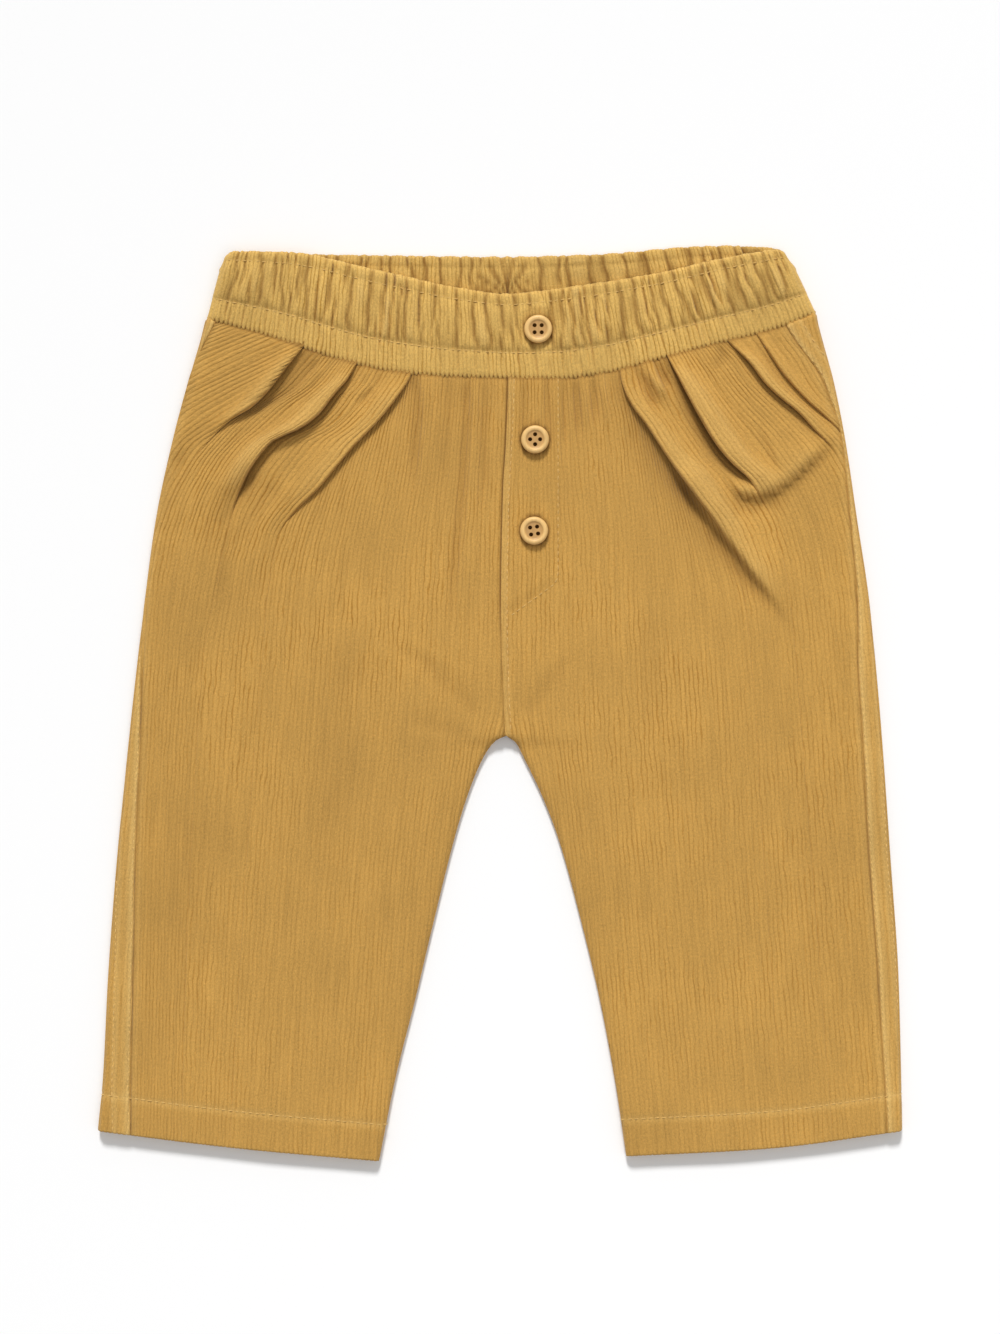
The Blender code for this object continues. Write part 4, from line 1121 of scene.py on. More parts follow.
# the back panels wrap round the outer fold, so each has a strip on the front
backPanel = frontPanel | {
    "stripRaise": 0.45,        # the strip over its seam allowance
    "stripRound": 0.9,
    "stripDip": 0.3,
    "lapDip": 0.8,
    "lapRoll": 0.55,
    "firstWale": -10,
    "lastWale": 88,
    "waistFolds": 0.8,
    "innerColumns": 20,
    # pale lines of painted highlight along the side strip's raised edge and beside it: distance, width,
    # how pale
    "paleLines": ((1.1, 1.0, 0.75), (2.9, 1.2, 0.3), (6.4, 1.4, 0.45)),
}
# troughs in the seat and behind the knees
rightBackCreases = (
    ("soft", 3.4, -0.9, ((-6, 6), (4, 30), (20, 62))),
    ("soft", 2.6, -0.7, ((-12, 5), (-16, 26), (-12, 52))),
    ("soft", 3.0, -0.6, ((8, 8), (30, 22), (62, 30))),
    ("soft", 4.0, -0.7, ((-84, 60), (-78, 92), (-84, 128))),
    ("soft", 3.2, -0.6, ((-98, 72), (-104, 104), (-98, 138))),
    ("soft", 3.6, -0.6, ((30, 120), (60, 104), (96, 92))),
    ("soft", 4.4, -0.5, ((10, 140), (24, 118), (28, 96))),
)
leftBackCreases = (
    ("soft", 3.2, -0.9, ((-7, 6), (2, 34), (14, 60))),
    ("soft", 2.8, -0.6, ((-13, 6), (-20, 30), (-18, 58))),
    ("soft", 3.2, -0.6, ((6, 7), (34, 18), (70, 36))),
    ("soft", 4.2, -0.7, ((-78, 64), (-84, 98), (-78, 132))),
    ("soft", 3.0, -0.5, ((-96, 76), (-100, 110), (-106, 140))),
    ("soft", 3.4, -0.6, ((40, 124), (72, 112), (104, 98))),
    ("soft", 4.6, -0.5, ((0, 144), (10, 120), (18, 92))),
)


def backWhere(half, height, numbers, settings):
    # across of each point on its way round the fold, with the angle and the path it has come
    foldRound = garment["foldRound"]
    quarter = math.pi / 2 * foldRound
    seamIn = half.seamIn(height)
    onArc = np.arccos(np.clip(1 - seamIn / foldRound, 0, 1)) * foldRound
    start = np.where(seamIn < foldRound, onArc, quarter + seamIn - foldRound)
    free = -numbers * garment["walePitch"] * np.ones_like(height)
    path = np.minimum(free, start)
    angle = np.clip(path / quarter, -1, 1) * math.pi / 2
    inwards = foldRound * (1 - np.cos(angle)) + np.maximum(np.abs(path) - quarter, 0)
    across = half.edge(height) - inwards
    limit = half.inner(height, settings["tuck"] if half.side < 0 else 0.05)
    below = path < 0
    across = np.where(below, np.maximum(across, limit), across)
    held = (free > start + 1e-6) | (below & (across <= limit + 1e-6))
    return across, (angle, path, start, held)


def stripLift(height, fromStart, strip, settings):
    # the strip that shows on the front: its edge along the side seam, and its puckers
    edge = rounding(fromStart, settings["stripRound"])
    lift = strip * settings["stripRaise"] * edge
    lift -= strip * settings["stripDip"] * (1 - edge)
    return lift + strip * seamPucker(height, 6, 6.0, fromStart)


def seatLift(half, at, creases, settings):
    # how far the plain back stands off its level, and the painted shade of its creases
    lift, hollows = creaseLift(creases, at.across, at.height)
    waist = np.maximum(ripple(at.x, 21, 8.5), 0)
    lift -= settings["waistFolds"] * waist * (1 - ease(at.belowBand, 3, 34))
    if half.side < 0:
        lift -= (1 - at.legs) * settings["lapDip"] * (1 - ease(at.toCentre, -0.6, 0.9))
    else:
        lift -= (1 - at.legs) * settings["lapRoll"] * (1 - rounding(at.toCentre, 1.1))
    return lift, hollows


def backPanelMesh(name, half, creases, settings):
    numbers, shapes = waleColumns(settings["firstWale"], settings["lastWale"])
    height, across, (angle, path, start, held) = solveHeights(
        settings,
        len(numbers),
        lambda height: backWhere(half, height, numbers, settings),
        lambda across, extra: np.where(
            extra[0][2] > 0, frontSeam(half.side * across[2]), backSeam(half.side * across[2])
        ),
        lambda across: half.hem(across[-1]),
    )
    up = np.sin(angle)
    onFront = up > 0
    at = PanelPoints(half, across, height, lambda x: np.where(onFront, frontSeam(x), backSeam(x)))
    fromStart, strip = start - path, ease(path, 1.0, 3.6)
    raised = stripLift(height, fromStart, strip, settings)
    raised += stitchDips(fromStart, garment["stripStitches"]) * ease(path, 0.0, 1.0)
    raised += stitchDips(at.aboveHem, (garment["hemStitch"],), settings["stitchDip"], 0.8)
    raised -= settings["hemDip"] * (1 - rounding(at.aboveHem, 0.9))
    raised -= settings["bandDip"] * (1 - ease(at.belowBand, -0.8, 0.9))
    under = 1 - ease(up, -1.0, -0.2)
    sag, hollows = seatLift(half, at, creases, settings)
    raised += under * sag

    foldRound = garment["foldRound"]
    level, middle = half.thickness(across, height), edgeThickness(height) / 2
    wall = np.where(onFront, half.wall(across, height, frontSeam), half.wall(across, height, backSeam))
    share = np.where(onFront, 1.0, 1 - at.legs * (1 - rounding(at.fromInner, foldRound)))
    reach = np.where(onFront, level - middle, middle)
    outerZ = middle + up * (reach + raised) * share
    roundFold = range(0, 64, 4)
    kept = evenColumns(len(numbers), settings["innerColumns"], roundFold)
    limit = np.where((share > 0.98) & (up < -0.98), reach + raised - settings["leastWall"], np.inf)
    innerZ = middle + up * keepBelow((reach - wall) * share, limit, kept)
    outwards = np.cos(angle)
    turned = np.clip(1 - at.fromInner / foldRound, 0, 1) * at.legs * np.where(onFront, 0, 1)
    innerAcross = across - wall * outwards + wall * turned
    fine = np.stack([half.side * (across + raised * outwards), height, outerZ], axis=-1)
    facing = np.stack([half.side * outwards, np.zeros_like(angle), up], axis=-1)
    fine = textured(fine, facing, shapes, held, garment["waleDepth"])
    plain = np.stack([half.side * innerAcross, height, innerZ], axis=-1)
    seams = [(fromStart, away, width, pale * strip) for away, width, pale in settings["paleLines"]]
    wearAndHighlight = ridgeWearAndHighlight(np.zeros_like(height), at.aboveHem, seams)
    return shell(name, fine, plain, kept, waleUvs(numbers, height), wearAndHighlight, under * hollows)


backPieces = {}
for name, half, creases in (
    ("back_right", right, rightBackCreases), ("back_left", left, leftBackCreases),
):
    mesh = backPanelMesh(name, half, creases, backPanel)
    backPieces[name] = addPiece(name + "_cloth", mesh, corduroy, (name,))
    print(name, len(mesh.polygons), "faces")


# the waistbands are gathered over elastic: a ruffled edge, a channel and a plain lower edge
waistband = {
    "endsTop": (-110.4, 114.4),
    "endsBottom": (-117.6, 126.7),
    "length": 237,
    "depth": 29,
    "wall": 2.5,
    "backWall": 2.3,
    "clearance": 0.4,
    "wales": 138,
    "waleDepth": 0.22,
    "frontGathers": 45,        # two sets in each band, which take turns along it
    "frontCrossGathers": 54,
    "backGathers": 40,
    "backCrossGathers": 34,
    "frontDepth": 2.6,
    "backDepth": 1.9,
    "cadBackDepth": 1.1,       # the gathers' depth on the back band's solid
    "buttonRise": 0.65,        # the button above the band's wall
    "flatten": (5.6, 9.6),     # the cloth is pressed flat under it, out to these distances
    "wander": ((0.0022, 9, 40), (0.0012, 23, 90)),   # sideways waves: size, rates down and along
    "fade": 0.22,              # how much the gathers differ in height down the band,
    "patches": (0.38, 0.16),   # and from place to place, widely and closely
    "lean": 0.2,               # how much lower the front's inner face lies at the seam
    "dents": 0.75,             # depth of the valleys on the underside
    "topRoll": 0.5,            # rounding of the back band's top edge underneath
    "gatherPale": 0.6,         # how pale the pile is made on the gathers, worn and with painted highlight, and above the seam
    "rowPale": 0.2,
    # painted shade in the gathers' valleys and over the inside of the back band
    "valleyShade": 0.75,
    "insideShade": 0.14,
    "cornerRound": (3.4, 6.0),   # drop of the band's top corners, how far in it starts
    "edgeWave": 0.55,          # how far the gathers move the band's top edge
    "fan": {"across": 3.0, "drop": 14.0, "rays": 16.0, "reach": 10.0},
    "fanSeamDark": 0.6,        # painted shade along the centre back seam below the band's top
    "scallop": 1.1,            # how far each wale hangs past the seam below the band
    "stitchRows": (0.135, 0.70),
    "drops": (                 # the rows of points, as shares of the depth
        0.0, 0.008, 0.02, 0.035, 0.055, 0.08, 0.1, 0.12, 0.135, 0.15, 0.17, 0.2, 0.25, 0.31, 0.38,
        0.45, 0.52, 0.58, 0.63, 0.66, 0.68, 0.70, 0.72, 0.74, 0.77, 0.82, 0.87, 0.92, 0.955, 0.98,
        0.99, 1.0,
    ),
}
# share of the band's depth, rise of its face, share of the gathers' depth
frontBandRows = (
    (0.0, -1.3, 0.45), (0.02, -0.5, 0.7), (0.05, -0.1, 0.9), (0.09, 0.0, 0.9),
    (0.135, -0.05, 0.8), (0.18, 0.1, 0.9), (0.28, 0.4, 1.0), (0.45, 0.5, 1.0), (0.6, 0.35, 0.95),
    (0.66, 0.1, 0.75), (0.70, -0.2, 0.4), (0.74, -0.1, 0.45), (0.84, 0.0, 0.35), (0.95, -0.1, 0.25),
    (0.98, -0.3, 0.15), (1.0, -0.9, 0.1),
)
backBandRows = (
    (0.0, -0.9, 0.4), (0.03, -0.2, 0.8), (0.1, 0.0, 0.95), (0.14, -0.1, 0.75), (0.2, 0.1, 0.95),
    (0.3, 0.2, 1.0), (0.62, 0.1, 0.95), (0.70, -0.2, 0.45), (0.8, 0.0, 0.4), (1.0, -0.4, 0.2),
)


def gatherPlan(count, seed):
    # ends and depths of uneven gathers along a band, as shares of its length
    chance = np.random.default_rng(seed)
    widths, depths = chance.uniform(0.5, 1.7, count), chance.uniform(0.45, 1.0, count)
    ends = np.concatenate([[0], np.cumsum(widths)]) / widths.sum()
    return ends, depths


def gatherShare(place, plan, power=0.72):
    # height of the gather at each place, 0 in the valleys, and which gather it is
    ends, depths = plan
    i = np.clip(np.searchsorted(ends, place) - 1, 0, len(depths) - 1)
    t = np.clip((place - ends[i]) / (ends[i + 1] - ends[i]), 0, 1)
    return depths[i] * np.sin(math.pi * t) ** power, i


def bandEnds(places):
    # x on the band's upper and lower edge at each share of its length
    return [a + (b - a) * places for a, b in (waistband["endsTop"], waistband["endsBottom"])]


def bandWhere(top, seam, drops, places, shapes):
    # x and y of the band's points, and how far each is from the nearer end
    endsTop, endsLow = waistband["endsTop"], waistband["endsBottom"]
    xTop, xLow = bandEnds(places)
    yTop, yLow = top(xTop), seam(xLow) + 0.15
    x = xTop + (xLow - xTop) * drops
    y = yTop + (yLow - yTop) * drops
    y = y - waistband["scallop"] * (shapes - 0.4) * ease(drops, 0.955, 1.0)
    low = endsTop[0] + (endsLow[0] - endsTop[0]) * drops
    high = endsTop[1] + (endsLow[1] - endsTop[1]) * drops
    return x, y, np.minimum(x - low, high - x)


def fanShare(x, below, fan):
    # gathers that spread upwards from a spot on the centre back seam, and how much they count
    fromSeam, above = x - fan["across"], below + fan["drop"]
    angle = np.arctan2(fromSeam, np.maximum(above, 0.5) + 1.2)
    rays = 0.5 + 0.5 * np.cos(angle * fan["rays"] + 0.9 * np.sin(angle * 5))
    return rays, np.exp(-((fromSeam / fan["reach"]) ** 4))


def bandFloor():
    # height of the front band's inner face, clear of the back band
    return waistband["backWall"] + waistband["cadBackDepth"] + waistband["clearance"]


def bandGathers(drops, places, plans, swapSeed):
    # height of the gathers, which wander and take turns with the other set, and two shares that
    # lower them along each gather and from patch to patch
    wander = sum(
        size * np.sin(drops * down + across * places) for size, down, across in waistband["wander"]
    )
    gathers, which = gatherShare(np.clip(places + wander, 0, 1), plans[0])
    others, _ = gatherShare(np.clip(places - 0.8 * wander, 0, 1), plans[1])
    along = places * waistband["length"]
    swap = ease(ripple(along + 22 * drops, swapSeed, 38.0), -0.15, 0.3)
    change, (wide, close) = waistband["fade"], waistband["patches"]
    fade = 1 - change + change * np.sin(which * 2.3 + drops * 7.0)
    patch = 1 - wide + wide * ripple(along + 6 * drops, 14, 46.0) + close * ripple(along, 9, 13.0)
    return gathers + (others - gathers) * swap, fade, np.clip(patch + 0.2, 0.35, 1.15)


def frontBandFaces(x, y, drops, rise, fold, settings):
    # heights of the front band's outer and inner faces, with the cloth pressed flat at the button
    under = bandFloor() - settings["lean"] * drops
    _, buttonX, buttonY, _, _ = buttonPlaces[0]
    pressed = ease(np.hypot(x - buttonX, y - buttonY), *settings["flatten"])
    return under + settings["wall"] + rise + settings["frontDepth"] * fold * pressed, under


def backBandFaces(drops, rise, fold, gathers, depthShare, settings):
    # the same of the back band, whose outer face is the underside, dented between the gathers
    under = settings["dents"] * depthShare * (1 - gathers) * (1 - ease(drops, 0.9, 1))
    return under, settings["backWall"] + rise + settings["backDepth"] * fold


def fanShade(shade, x, drops, beside, settings):
    # painted shade over the inside of the back band, most where the fan's spot lies in shadow at the foot
    # of its seam
    low = ease(drops, 0.1, 0.34) * beside
    shade = shade * (1 - 0.5 * beside + 0.3 * low) + settings["insideShade"] * (1 + 0.8 * low)
    seam = settings["fanSeamDark"] * ease(drops, 0.06, 0.2)
    return shade + seam * bell(x - settings["fan"]["across"], 0.55)


def bandMesh(name, top, seam, rows, plans, swapSeed, isFront):
    settings = waistband
    numbers, shapes = waleColumns(0, settings["wales"])
    count = len(numbers)
    drops = np.array(settings["drops"])[:, None]
    places = (numbers / settings["wales"])[None, :]
    x, y, fromEnd = bandWhere(top, seam, drops, places, shapes)
    rise, depthShare = curve(rows, 1)(drops), curve(rows, 2)(drops)
    gathers, fade, patch = bandGathers(drops, places, plans, swapSeed)
    if not isFront:
        rays, beside = fanShare(x, y - top(x), settings["fan"])
        gathers = gathers + (rays - gathers) * beside
    fold = depthShare * gathers * fade * patch
    y = y + settings["edgeWave"] * (gathers - 0.5) * (1 - ease(drops, 0.0, 0.2))
    drop, inset = settings["cornerRound"]
    y = y - drop * (1 - rounding(fromEnd, inset)) * (1 - ease(drops, 0.0, 0.35))
    middle = (edgeThickness(y) + ease(y, 157, 170) * 0.6) / 2
    wall = settings["wall"] if isFront else settings["backWall"]
    reach = settings["wall"] + garment["foldRound"]
    share = rounding(fromEnd, reach)
    if isFront:
        over, under = frontBandFaces(x, y, drops, rise, fold, settings)
        outerZ = middle + (over - middle) * share
        innerZ = middle + (under - middle) * share
    else:
        under, over = backBandFaces(drops, rise, fold, gathers, depthShare, settings)
        outerZ = middle * (1 - share) + share * under
        outerZ += share * settings["topRoll"] * (1 - rounding(drops * settings["depth"], 1.0))
        innerZ = middle + (over - middle) * share
    turned = wall * np.clip(1 - fromEnd / reach, 0, 1) * np.sign(-x)
    held = np.zeros(x.shape, bool)
    depth = settings["waleDepth"] * (1 + 0.6 * ease(drops, 0.68, 0.74))
    outer = np.stack([x, y, outerZ], axis=-1)
    outer = textured(outer, upward if isFront else -upward, shapes, held, depth)
    inner = np.stack([x + turned, y, innerZ], axis=-1)
    uv = np.stack([np.broadcast_to(numbers, x.shape), drops * 17 * np.ones_like(x)], axis=-1)
    # paler gather tops, for wear and painted highlight
    wearAndHighlight = settings["gatherPale"] * ease(fold, 0.45, 1.0)
    wearAndHighlight = wearAndHighlight + settings["rowPale"] * bell(drops - settings["stitchRows"][1], 0.02)
    # painted shade in the gathers' valleys, fading out at the band's ends
    shade = settings["valleyShade"] * ease(depthShare, 0.1, 0.9) * (1 - ease(gathers * fade, 0.0, 0.5))
    shade *= ease(fromEnd, 0, 6)
    if isFront:
        # painted shadow round the button
        shade = shade + frontPanel["buttonDark"] * besideButtons(x, y)
        turns = {4, 8, 12, count - 9, count - 5, count - 1}   # closer where the ends turn under
        kept = sorted(set(range(0, count, 16)) | turns)
        return shell(name, outer, inner, kept, uv, wearAndHighlight, np.clip(shade, 0, 1))
    shade = fanShade(shade, x, drops, beside, settings)
    inner = textured(inner, upward, shapes, held, settings["waleDepth"])
    return shell(name, inner, outer, list(range(count)), uv, 0.5 * wearAndHighlight, np.clip(shade, 0, 1))


bandPieces = {}
for name, top, seam, rows, side, seed, swapSeed in (
    ("waistband_back", backTop, backSeam, backBandRows, "back", 12, 44),
    ("waistband_front", frontTop, frontSeam, frontBandRows, "front", 31, 41),
):
    plans = [gatherPlan(waistband[side + kind], seed) for kind in ("Gathers", "CrossGathers")]
    mesh = bandMesh(name, top, seam, rows, plans, swapSeed, side == "front")
    bandPieces[name] = addPiece(name + "_cloth", mesh, bandCorduroy, (name,))
    print(name, len(mesh.polygons), "faces")


def quarterTurn(steps, skip=0):
    # sine and cosine at even steps from 0 to a right angle
    angles = [math.pi / 2 * step / steps for step in range(skip, steps + 1)]
    return [(math.sin(angle), math.cos(angle)) for angle in angles]


def buttonProfile(shape):
    # radius and height, from the middle of the underside round to the middle of the dish
    radius, thick, dish, foot = shape["radius"], shape["thick"], shape["dish"], shape["footRound"]
    low, high = radius - foot, radius - shape["rimRound"]
    waist = shape["waist"]
    rim = [(0.0, 0.0), (low, 0.0)]
    rim += [(low + foot * sin, waist - waist * cos) for sin, cos in quarterTurn(6)]
    rim += [
        (high + shape["rimRound"] * cos, waist + (thick - waist) * sin) for sin, cos in quarterTurn(8, 1)
    ]
    rim += [(dish + out, thick - down) for out, down in shape["dishCurve"]]
    floor = thick - shape["dishDepth"]
    return rim + [(shape["dishFlat"], floor), (0.0, floor)]


def turnedMesh(name, profile, sides):
    mesh = bpy.data.meshes.new(name)
    build = bmesh.new()
    points = [build.verts.new((r * mm, 0, z * mm)) for r, z in profile]
    edges = [build.edges.new(pair) for pair in zip(points, points[1:])]
    bmesh.ops.spin(
        build, geom=points + edges, cent=(0, 0, 0), axis=(0, 0, 1), angle=2 * math.pi, steps=sides
    )
    bmesh.ops.remove_doubles(build, verts=build.verts, dist=weld)
    bmesh.ops.recalc_face_normals(build, faces=build.faces)
    build.to_mesh(mesh)
    build.free()
    return mesh


def makeButton(name, x, y, rest, turn, shape):
    body = newObject(name, turnedMesh(name, buttonProfile(shape), shape["sides"]))
    hole, flare, thick, half = shape["hole"], shape["holeFlare"], shape["thick"], shape["spacing"] / 2
    centres = [(half * sx, half * sy) for sx, sy in ((1, 1), (-1, 1), (-1, -1), (1, -1))]
    low, high = (thick - down for down in shape["flareDrops"])
    pin = [(0, -1), (hole, -1), (hole, low), (flare, high), (flare, 3), (0, 3)]
    cutters = []
    for i, (px, py) in enumerate(centres):
        cutter = newObject(f"{name}_pin{i}", turnedMesh("pin", pin, shape["pinSides"]))
        cutter.location = (px * mm, py * mm, 0)
        cut = body.modifiers.new(f"hole{i}", "BOOLEAN")
        cut.operation, cut.solver, cut.object = "DIFFERENCE", "EXACT", cutter
        cutters.append(cutter)
    mesh = finishedMesh(body)
    for each in [body] + cutters:
        bpy.data.objects.remove(each, do_unlink=True)
    points = np.zeros(len(mesh.vertices) * 3)
    mesh.vertices.foreach_get("co", points)
    points = points.reshape(-1, 3)
    fromHole = np.min([np.hypot(*(points[:, :2] / mm - centre).T) for centre in centres], axis=0)
    addValues(mesh, "radius", np.hypot(points[:, 0], points[:, 1]) / mm)
    # painted shade on the hole walls below the flare
    addValues(mesh, "deepShade", (fromHole < flare + 0.05) & (points[:, 2] / mm < high - 0.1))
    sin, cos = math.sin(math.radians(turn)), math.cos(math.radians(turn))
    points[:, :2] = points[:, :2] @ np.array(((cos, sin), (-sin, cos)))
    points += np.array((x, y, rest)) * mm
    mesh.vertices.foreach_set("co", points.ravel())
    mesh.shade_smooth()
    mesh.set_sharp_from_angle(angle=math.radians(38))
    return mesh


woodLook = {
    "Rim": (0.80, 0.50, 0.18, 1),
    "Dish": (0.54, 0.30, 0.095, 1),
    "Hole Shade": (0.20, 0.066, 0.008, 1),
}


def turnedGroup():
    # pale rim, browner dish, painted shade in the holes, and faint grain
    group, given, out = newGroup("turnedWood", woodLook)
    place = addNode(group, "ShaderNodeTexCoord").outputs["Object"]
    grain = addNoise(group, addStretch(group, place, (900.0, 140.0, 900.0)), 1.0, 4.0, 0.6)
    onRim = addRange(group, readAttribute(group, "radius"), 3.1, 4.1)
    colour = addMix(group, onRim, given["Dish"], given["Rim"])
    colour = addMix(group, readAttribute(group, "deepShade"), colour, given["Hole Shade"])
    colour = addTone(group, colour, addRange(group, grain, 0.2, 0.8, 0.86, 1.1))
    return finishGroup(group, out, colour, addRange(group, grain, 0.2, 0.8, 0.42, 0.6), grain)


woodShader = {"Specular IOR Level": 0.45, "Coat Weight": 0.15, "Coat Roughness": 0.35}
buttonMaterial = newMaterial("button", turnedGroup(), woodLook, woodShader, (0.25, 0.1))
for name, x, y, rest, turn in buttonPlaces:
    if rest is None:
        rest = bandFloor() + waistband["wall"] + waistband["buttonRise"]
    else:
        rest += float(left.thickness(np.array(x), np.array(y)))
    mesh = makeButton(name, x, y, rest, turn, buttonShape)
    addPiece(name + "_turned", mesh, buttonMaterial, (name,))
print("buttons made")


sewing = {
    "pitch": 2.7,
    "length": 2.0,
    "radius": 0.17,
    "arch": 0.16,
    "rings": 6,
    "sides": 6,
    "rowStep": 0.9,            # between the places where a row is laid on the cloth
    "stripEnds": (128.0, 150.0, -172.0),   # heights: right top, left top, lower end
    "centreEnds": (128.6, 144.0, -11.0),   # front top, back top, lower end
    "flyRow": (23.2, 52.0),    # x of the straight part of the J, and its lower end
    "flyBend": ((23.0, 50.0), (21.2, 47.4), (5.2, 35.8)),   # lower end of the J on the mock fly
}


def stitchMesh(settings):
    # one stitch: a thin bent rod whose ends go into the cloth
    mesh = bpy.data.meshes.new("stitch")
    rings, sides = settings["rings"], settings["sides"]
    points, faces = [], []
    for i in range(rings):
        t = i / (rings - 1) * 2 - 1
        radius = settings["radius"] * (0.55 + 0.45 * math.sqrt(max(0.0, 1 - t * t)))
        height = settings["arch"] * (1 - 1.9 * t * t)
        for j in range(sides):
            turn = 2 * math.pi * j / sides
            points.append((
                t * settings["length"] / 2 * mm,
                radius * math.cos(turn) * mm,
                (height + radius * math.sin(turn)) * mm,
            ))
    for i in range(rings - 1):
        for j in range(sides):
            k = (j + 1) % sides
            faces.append((i * sides + j, (i + 1) * sides + j, (i + 1) * sides + k, i * sides + k))
    faces.append(tuple(range(sides)))
    faces.append(tuple(reversed(range((rings - 1) * sides, rings * sides))))
    mesh.from_pydata(points, [], faces)
    build = bmesh.new()
    build.from_mesh(mesh)
    bmesh.ops.recalc_face_normals(build, faces=build.faces)
    build.to_mesh(mesh)
    build.free()
    mesh.shade_smooth()
    return mesh


def stitchGroup():
    # puts a copy of one stitch at even steps along the rows, turned to the row and the cloth
    group = bpy.data.node_groups.new("stitchRow", "GeometryNodeTree")
    for label, kind in (
        ("Geometry", "NodeSocketGeometry"), ("Stitch", "NodeSocketObject"),
        ("Pitch", "NodeSocketFloat"), ("Material", "NodeSocketMaterial"), ("Seed", "NodeSocketInt"),
    ):
        group.interface.new_socket(label, in_out="INPUT", socket_type=kind)
    group.interface.new_socket("Geometry", in_out="OUTPUT", socket_type="NodeSocketGeometry")
    given, out = group.nodes.new("NodeGroupInput"), group.nodes.new("NodeGroupOutput")
    lines = addNode(group, "GeometryNodeMeshToCurve", (), {0: given.outputs["Geometry"]})
    points = addNode(
        group, "GeometryNodeCurveToPoints", {"mode": "LENGTH"},
        {"Curve": lines.outputs[0], "Length": given.outputs["Pitch"]},
    )
    outwards = addNode(
        group, "GeometryNodeInputNamedAttribute", {"data_type": "FLOAT_VECTOR"}, {0: "outwards"}
    ).outputs[0]
    stand = addNode(group, "FunctionNodeAlignRotationToVector", {"axis": "Z"}, {"Vector": outwards})
    turned = addNode(
        group, "FunctionNodeAlignRotationToVector", {"axis": "X", "pivot_axis": "Z"},
        {"Rotation": stand.outputs[0], "Vector": points.outputs["Tangent"]},
    )
    sway = addNode(
        group, "FunctionNodeRandomValue", {"data_type": "FLOAT_VECTOR"},
        {0: (-0.05, -0.03, -0.09), 1: (0.05, 0.03, 0.09), "Seed": given.outputs["Seed"]},
    )
    swayed = addNode(
        group, "FunctionNodeRotateRotation", {"rotation_space": "LOCAL"},
        {0: turned.outputs[0], 1: sway.outputs[0]},
    )
    size = addNode(
        group, "FunctionNodeRandomValue", {"data_type": "FLOAT_VECTOR"},
        {0: (0.9, 0.9, 0.8), 1: (1.08, 1.1, 1.15), "Seed": given.outputs["Seed"]},
    )
    copy = addNode(group, "GeometryNodeObjectInfo", (), {0: given.outputs["Stitch"]})
    placed = addNode(
        group, "GeometryNodeInstanceOnPoints", (),
        {
            "Points": points.outputs["Points"],
            "Instance": copy.outputs["Geometry"],
            "Rotation": swayed.outputs[0],
            "Scale": size.outputs[0],
        },
    )
    real = addNode(group, "GeometryNodeRealizeInstances", (), {0: placed.outputs[0]})
    dressed = addNode(
        group, "GeometryNodeSetMaterial", (),
        {"Geometry": real.outputs[0], "Material": given.outputs["Material"]},
    )
    group.links.new(dressed.outputs[0], out.inputs[0])
    return group


def clothTree(pieces):
    # the cloth of several pieces as one searchable surface, in metres
    points, faces = [], []
    for piece in pieces:
        start = len(points)
        points += [v.co.copy() for v in piece.data.vertices]
        faces += [tuple(start + i for i in face.vertices) for face in piece.data.polygons]
    return BVHTree.FromPolygons(points, faces)


def layRow(tree, path, spacing, fromAbove):
    # a row's places on the cloth, found by looking down, or up, at it
    spots = np.array(path, float)
    steps = np.linalg.norm(np.diff(spots, axis=0), axis=1)
    start = np.concatenate([[0], np.cumsum(steps)])
    at = np.linspace(0, start[-1], max(2, int(start[-1] / spacing)))
    way = -1 if fromAbove else 1
    found = []
    for x, y in zip(np.interp(at, start, spots[:, 0]), np.interp(at, start, spots[:, 1])):
        hit = tree.ray_cast(Vector((x * mm, y * mm, -way * 0.05)), Vector((0, 0, way)))[0]
        if hit is not None:
            found.append(np.array(hit))
    found = np.array(found)
    if len(found) > 6:
        found[:, 2] = np.convolve(np.pad(found[:, 2], 2, "edge"), np.ones(5) / 5, "valid")
    return found, [(0, 0, -way)] * len(found)


def hemRow(half, above, inset=1.0):
    height = above - 180.0
    across = np.linspace(float(half.edge(height)) - inset, float(half.inner(height)) + inset, 40)
    return [(half.side * a, float(half.hem(a)) + above) for a in across]


def bandRow(top, seam, share):
    rows = []
    for xTop, xLow in zip(*bandEnds(np.linspace(0.0, 1.0, 120))):
        high, low = float(top(xTop)), float(seam(xLow))
        rows.append((xTop + (xLow - xTop) * share, high + (low - high) * share))
    return rows[2:-2]


def stripRows(half, apart):
    # a row down the side strip, in the stretches where the strip is wide enough for it
    runs = [[]]
    topRight, topLeft, low = sewing["stripEnds"]
    for height in np.arange(topRight if half.side < 0 else topLeft, low, -2.0):
        seamIn = half.seamIn(height)
        across = half.edge(height) - seamIn
        if seamIn <= apart + 0.9 or height >= frontSeam(half.side * across) - 1:
            continue
        if runs[-1] and runs[-1][-1][1] - height > 3:
            runs.append([])
        runs[-1].append((half.side * float(across + apart), height))
    return [run for run in runs if len(run) > 3]


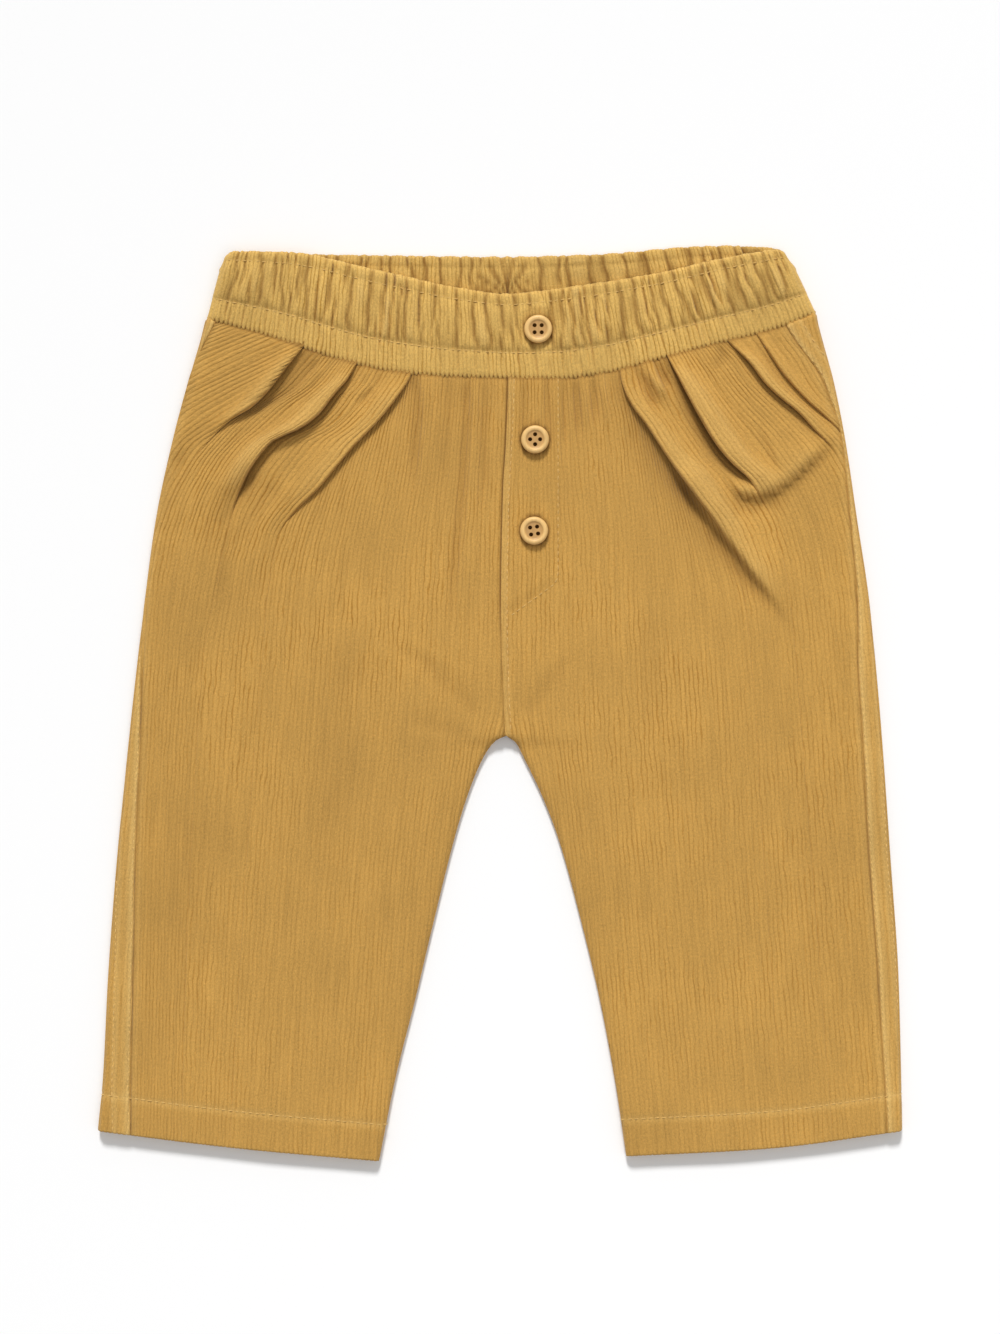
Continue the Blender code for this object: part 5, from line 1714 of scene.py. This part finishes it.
def sewnRows():
    # every row of stitches: its path, and whether it is seen from above
    rows = []
    hem, centre = garment["hemStitch"], garment["centreStitch"]
    for half in (right, left):
        for apart in garment["stripStitches"]:
            rows += [(run, True) for run in stripRows(half, apart)]
        rows += [(hemRow(half, hem), True), (hemRow(half, hem), False)]
    frontEnd, backEnd, low = sewing["centreEnds"]
    for top, fromAbove in ((frontEnd, True), (backEnd, False)):
        heights = np.arange(top, low, -2.0)
        rows.append(([(float(centreSeam(h)) + centre, h) for h in heights], fromAbove))
    flyX, flyLow = sewing["flyRow"]
    straight = [(flyX, h) for h in np.arange(frontEnd, flyLow, -3.0)]
    rows.append((straight + list(sewing["flyBend"]), True))
    for share in waistband["stitchRows"]:
        rows.append((bandRow(frontTop, frontSeam, share), True))
        rows.append((bandRow(backTop, backSeam, share), False))
    return rows


threadLook = {"Thread": (0.73, 0.475, 0.150, 1)}


def threadGroup():
    # twisted thread: faint diagonal strands
    group, given, out = newGroup("twistedThread", threadLook)
    place = addNode(group, "ShaderNodeTexCoord").outputs["Object"]
    noise = addNoise(group, place, 1400.0, 2.0, 0.6)
    colour = addTone(group, given["Thread"], addRange(group, noise, 0.2, 0.8, 0.86, 1.1))
    return finishGroup(group, out, colour, addRange(group, noise, 0.2, 0.8, 0.6, 0.8), noise)


threadShader = {"Sheen Weight": 0.2, "Specular IOR Level": 0.3}
threadMaterial = newMaterial("thread", threadGroup(), threadLook, threadShader, (0.3, 0.05))


def sewRows(name, rows, settings):
    tree = clothTree(list((frontPieces | backPieces | bandPieces).values()))
    points, outwards, edges = [], [], []
    for path, fromAbove in rows:
        found, normals = layRow(tree, path, settings["rowStep"], fromAbove)
        start = len(points)
        points += [tuple(p) for p in found]
        outwards += normals
        edges += [(start + i, start + i + 1) for i in range(len(found) - 1)]
    mesh = bpy.data.meshes.new(name)
    mesh.from_pydata(points, edges, [])
    layer = mesh.attributes.new("outwards", "FLOAT_VECTOR", "POINT")
    layer.data.foreach_set("vector", np.array(outwards, np.float32).ravel())
    rowsObject = newObject(name + "_rows", mesh)
    stitch = newObject(name + "_one", stitchMesh(settings))
    group = stitchGroup()
    modifier = rowsObject.modifiers.new("rows", "NODES")
    modifier.node_group = group
    sockets = {item.name: item.identifier for item in group.interface.items_tree if item.in_out == "INPUT"}
    modifier[sockets["Stitch"]] = stitch
    modifier[sockets["Pitch"]] = settings["pitch"] * mm
    modifier[sockets["Material"]] = threadMaterial
    modifier[sockets["Seed"]] = 5
    ready = finishedMesh(rowsObject)
    for each in (rowsObject, stitch):
        bpy.data.objects.remove(each, do_unlink=True)
    ready.shade_smooth()
    return addPiece(name, ready, threadMaterial)


stitches = sewRows("stitches", sewnRows(), sewing)
print("stitches", len(stitches.data.polygons), "faces")


studio = {
    "floorSize": 6.0,
    "floorDrop": 0.0003,
    "floorColour": (0.94, 0.94, 0.94, 1),
    "cameraMiddle": (0.0, 14.6),
    "cameraRise": 0.004,       # the cloth's own height, added to the distance
    "frameHeight": 533.6,
    "lens": 85.0,
    "sensor": 36.0,
    "world": 0.40,
    "lights": (                # name, kind, place, angle in degrees or size in metres, power
        ("key", "SUN", (-0.1, 1.2, 0.95), 12.0, 2.75),
        ("fill", "AREA", (0.5, -0.4, 1.7), 1.5, 5.0),
    ),
}


def makeFloor(settings):
    size = settings["floorSize"] / 2
    mesh = bpy.data.meshes.new("floor")
    corners = [(-size, -size), (size, -size), (size, size), (-size, size)]
    mesh.from_pydata([(x, y, -settings["floorDrop"]) for x, y in corners], [], [(0, 1, 2, 3)])
    material = bpy.data.materials.new("floor")
    material.use_nodes = True
    shader = material.node_tree.nodes["Principled BSDF"]
    shader.inputs["Base Color"].default_value = settings["floorColour"]
    shader.inputs["Roughness"].default_value = 0.9
    shader.inputs["Specular IOR Level"].default_value = 0.1
    mesh.materials.append(material)
    newObject("floor", mesh)


def makeLight(name, kind, place, size, power):
    data = bpy.data.lights.new(name, kind)
    data.energy = power
    if kind == "SUN":
        data.angle = math.radians(size)
    else:
        data.shape, data.size = "DISK", size
    lamp = newObject(name, data)
    lamp.location = place
    lamp.rotation_euler = (-Vector(place)).to_track_quat("-Z", "Y").to_euler()


def makeCamera(settings):
    data = bpy.data.cameras.new("camera")
    data.lens, data.sensor_width = settings["lens"], settings["sensor"]
    camera = newObject("camera", data)
    distance = settings["frameHeight"] * mm * settings["lens"] / settings["sensor"]
    x, y = settings["cameraMiddle"]
    camera.location = (x * mm, y * mm, distance + settings["cameraRise"])
    bpy.context.scene.camera = camera


makeFloor(studio)
for light in studio["lights"]:
    makeLight(*light)
world = bpy.data.worlds.new("studio")
world.use_nodes = True
background = world.node_tree.nodes["Background"]
background.inputs["Color"].default_value = (1, 1, 1, 1)
background.inputs["Strength"].default_value = studio["world"]
bpy.context.scene.world = world
bpy.context.scene.view_settings.view_transform = "Standard"
makeCamera(studio)
print("studio made")
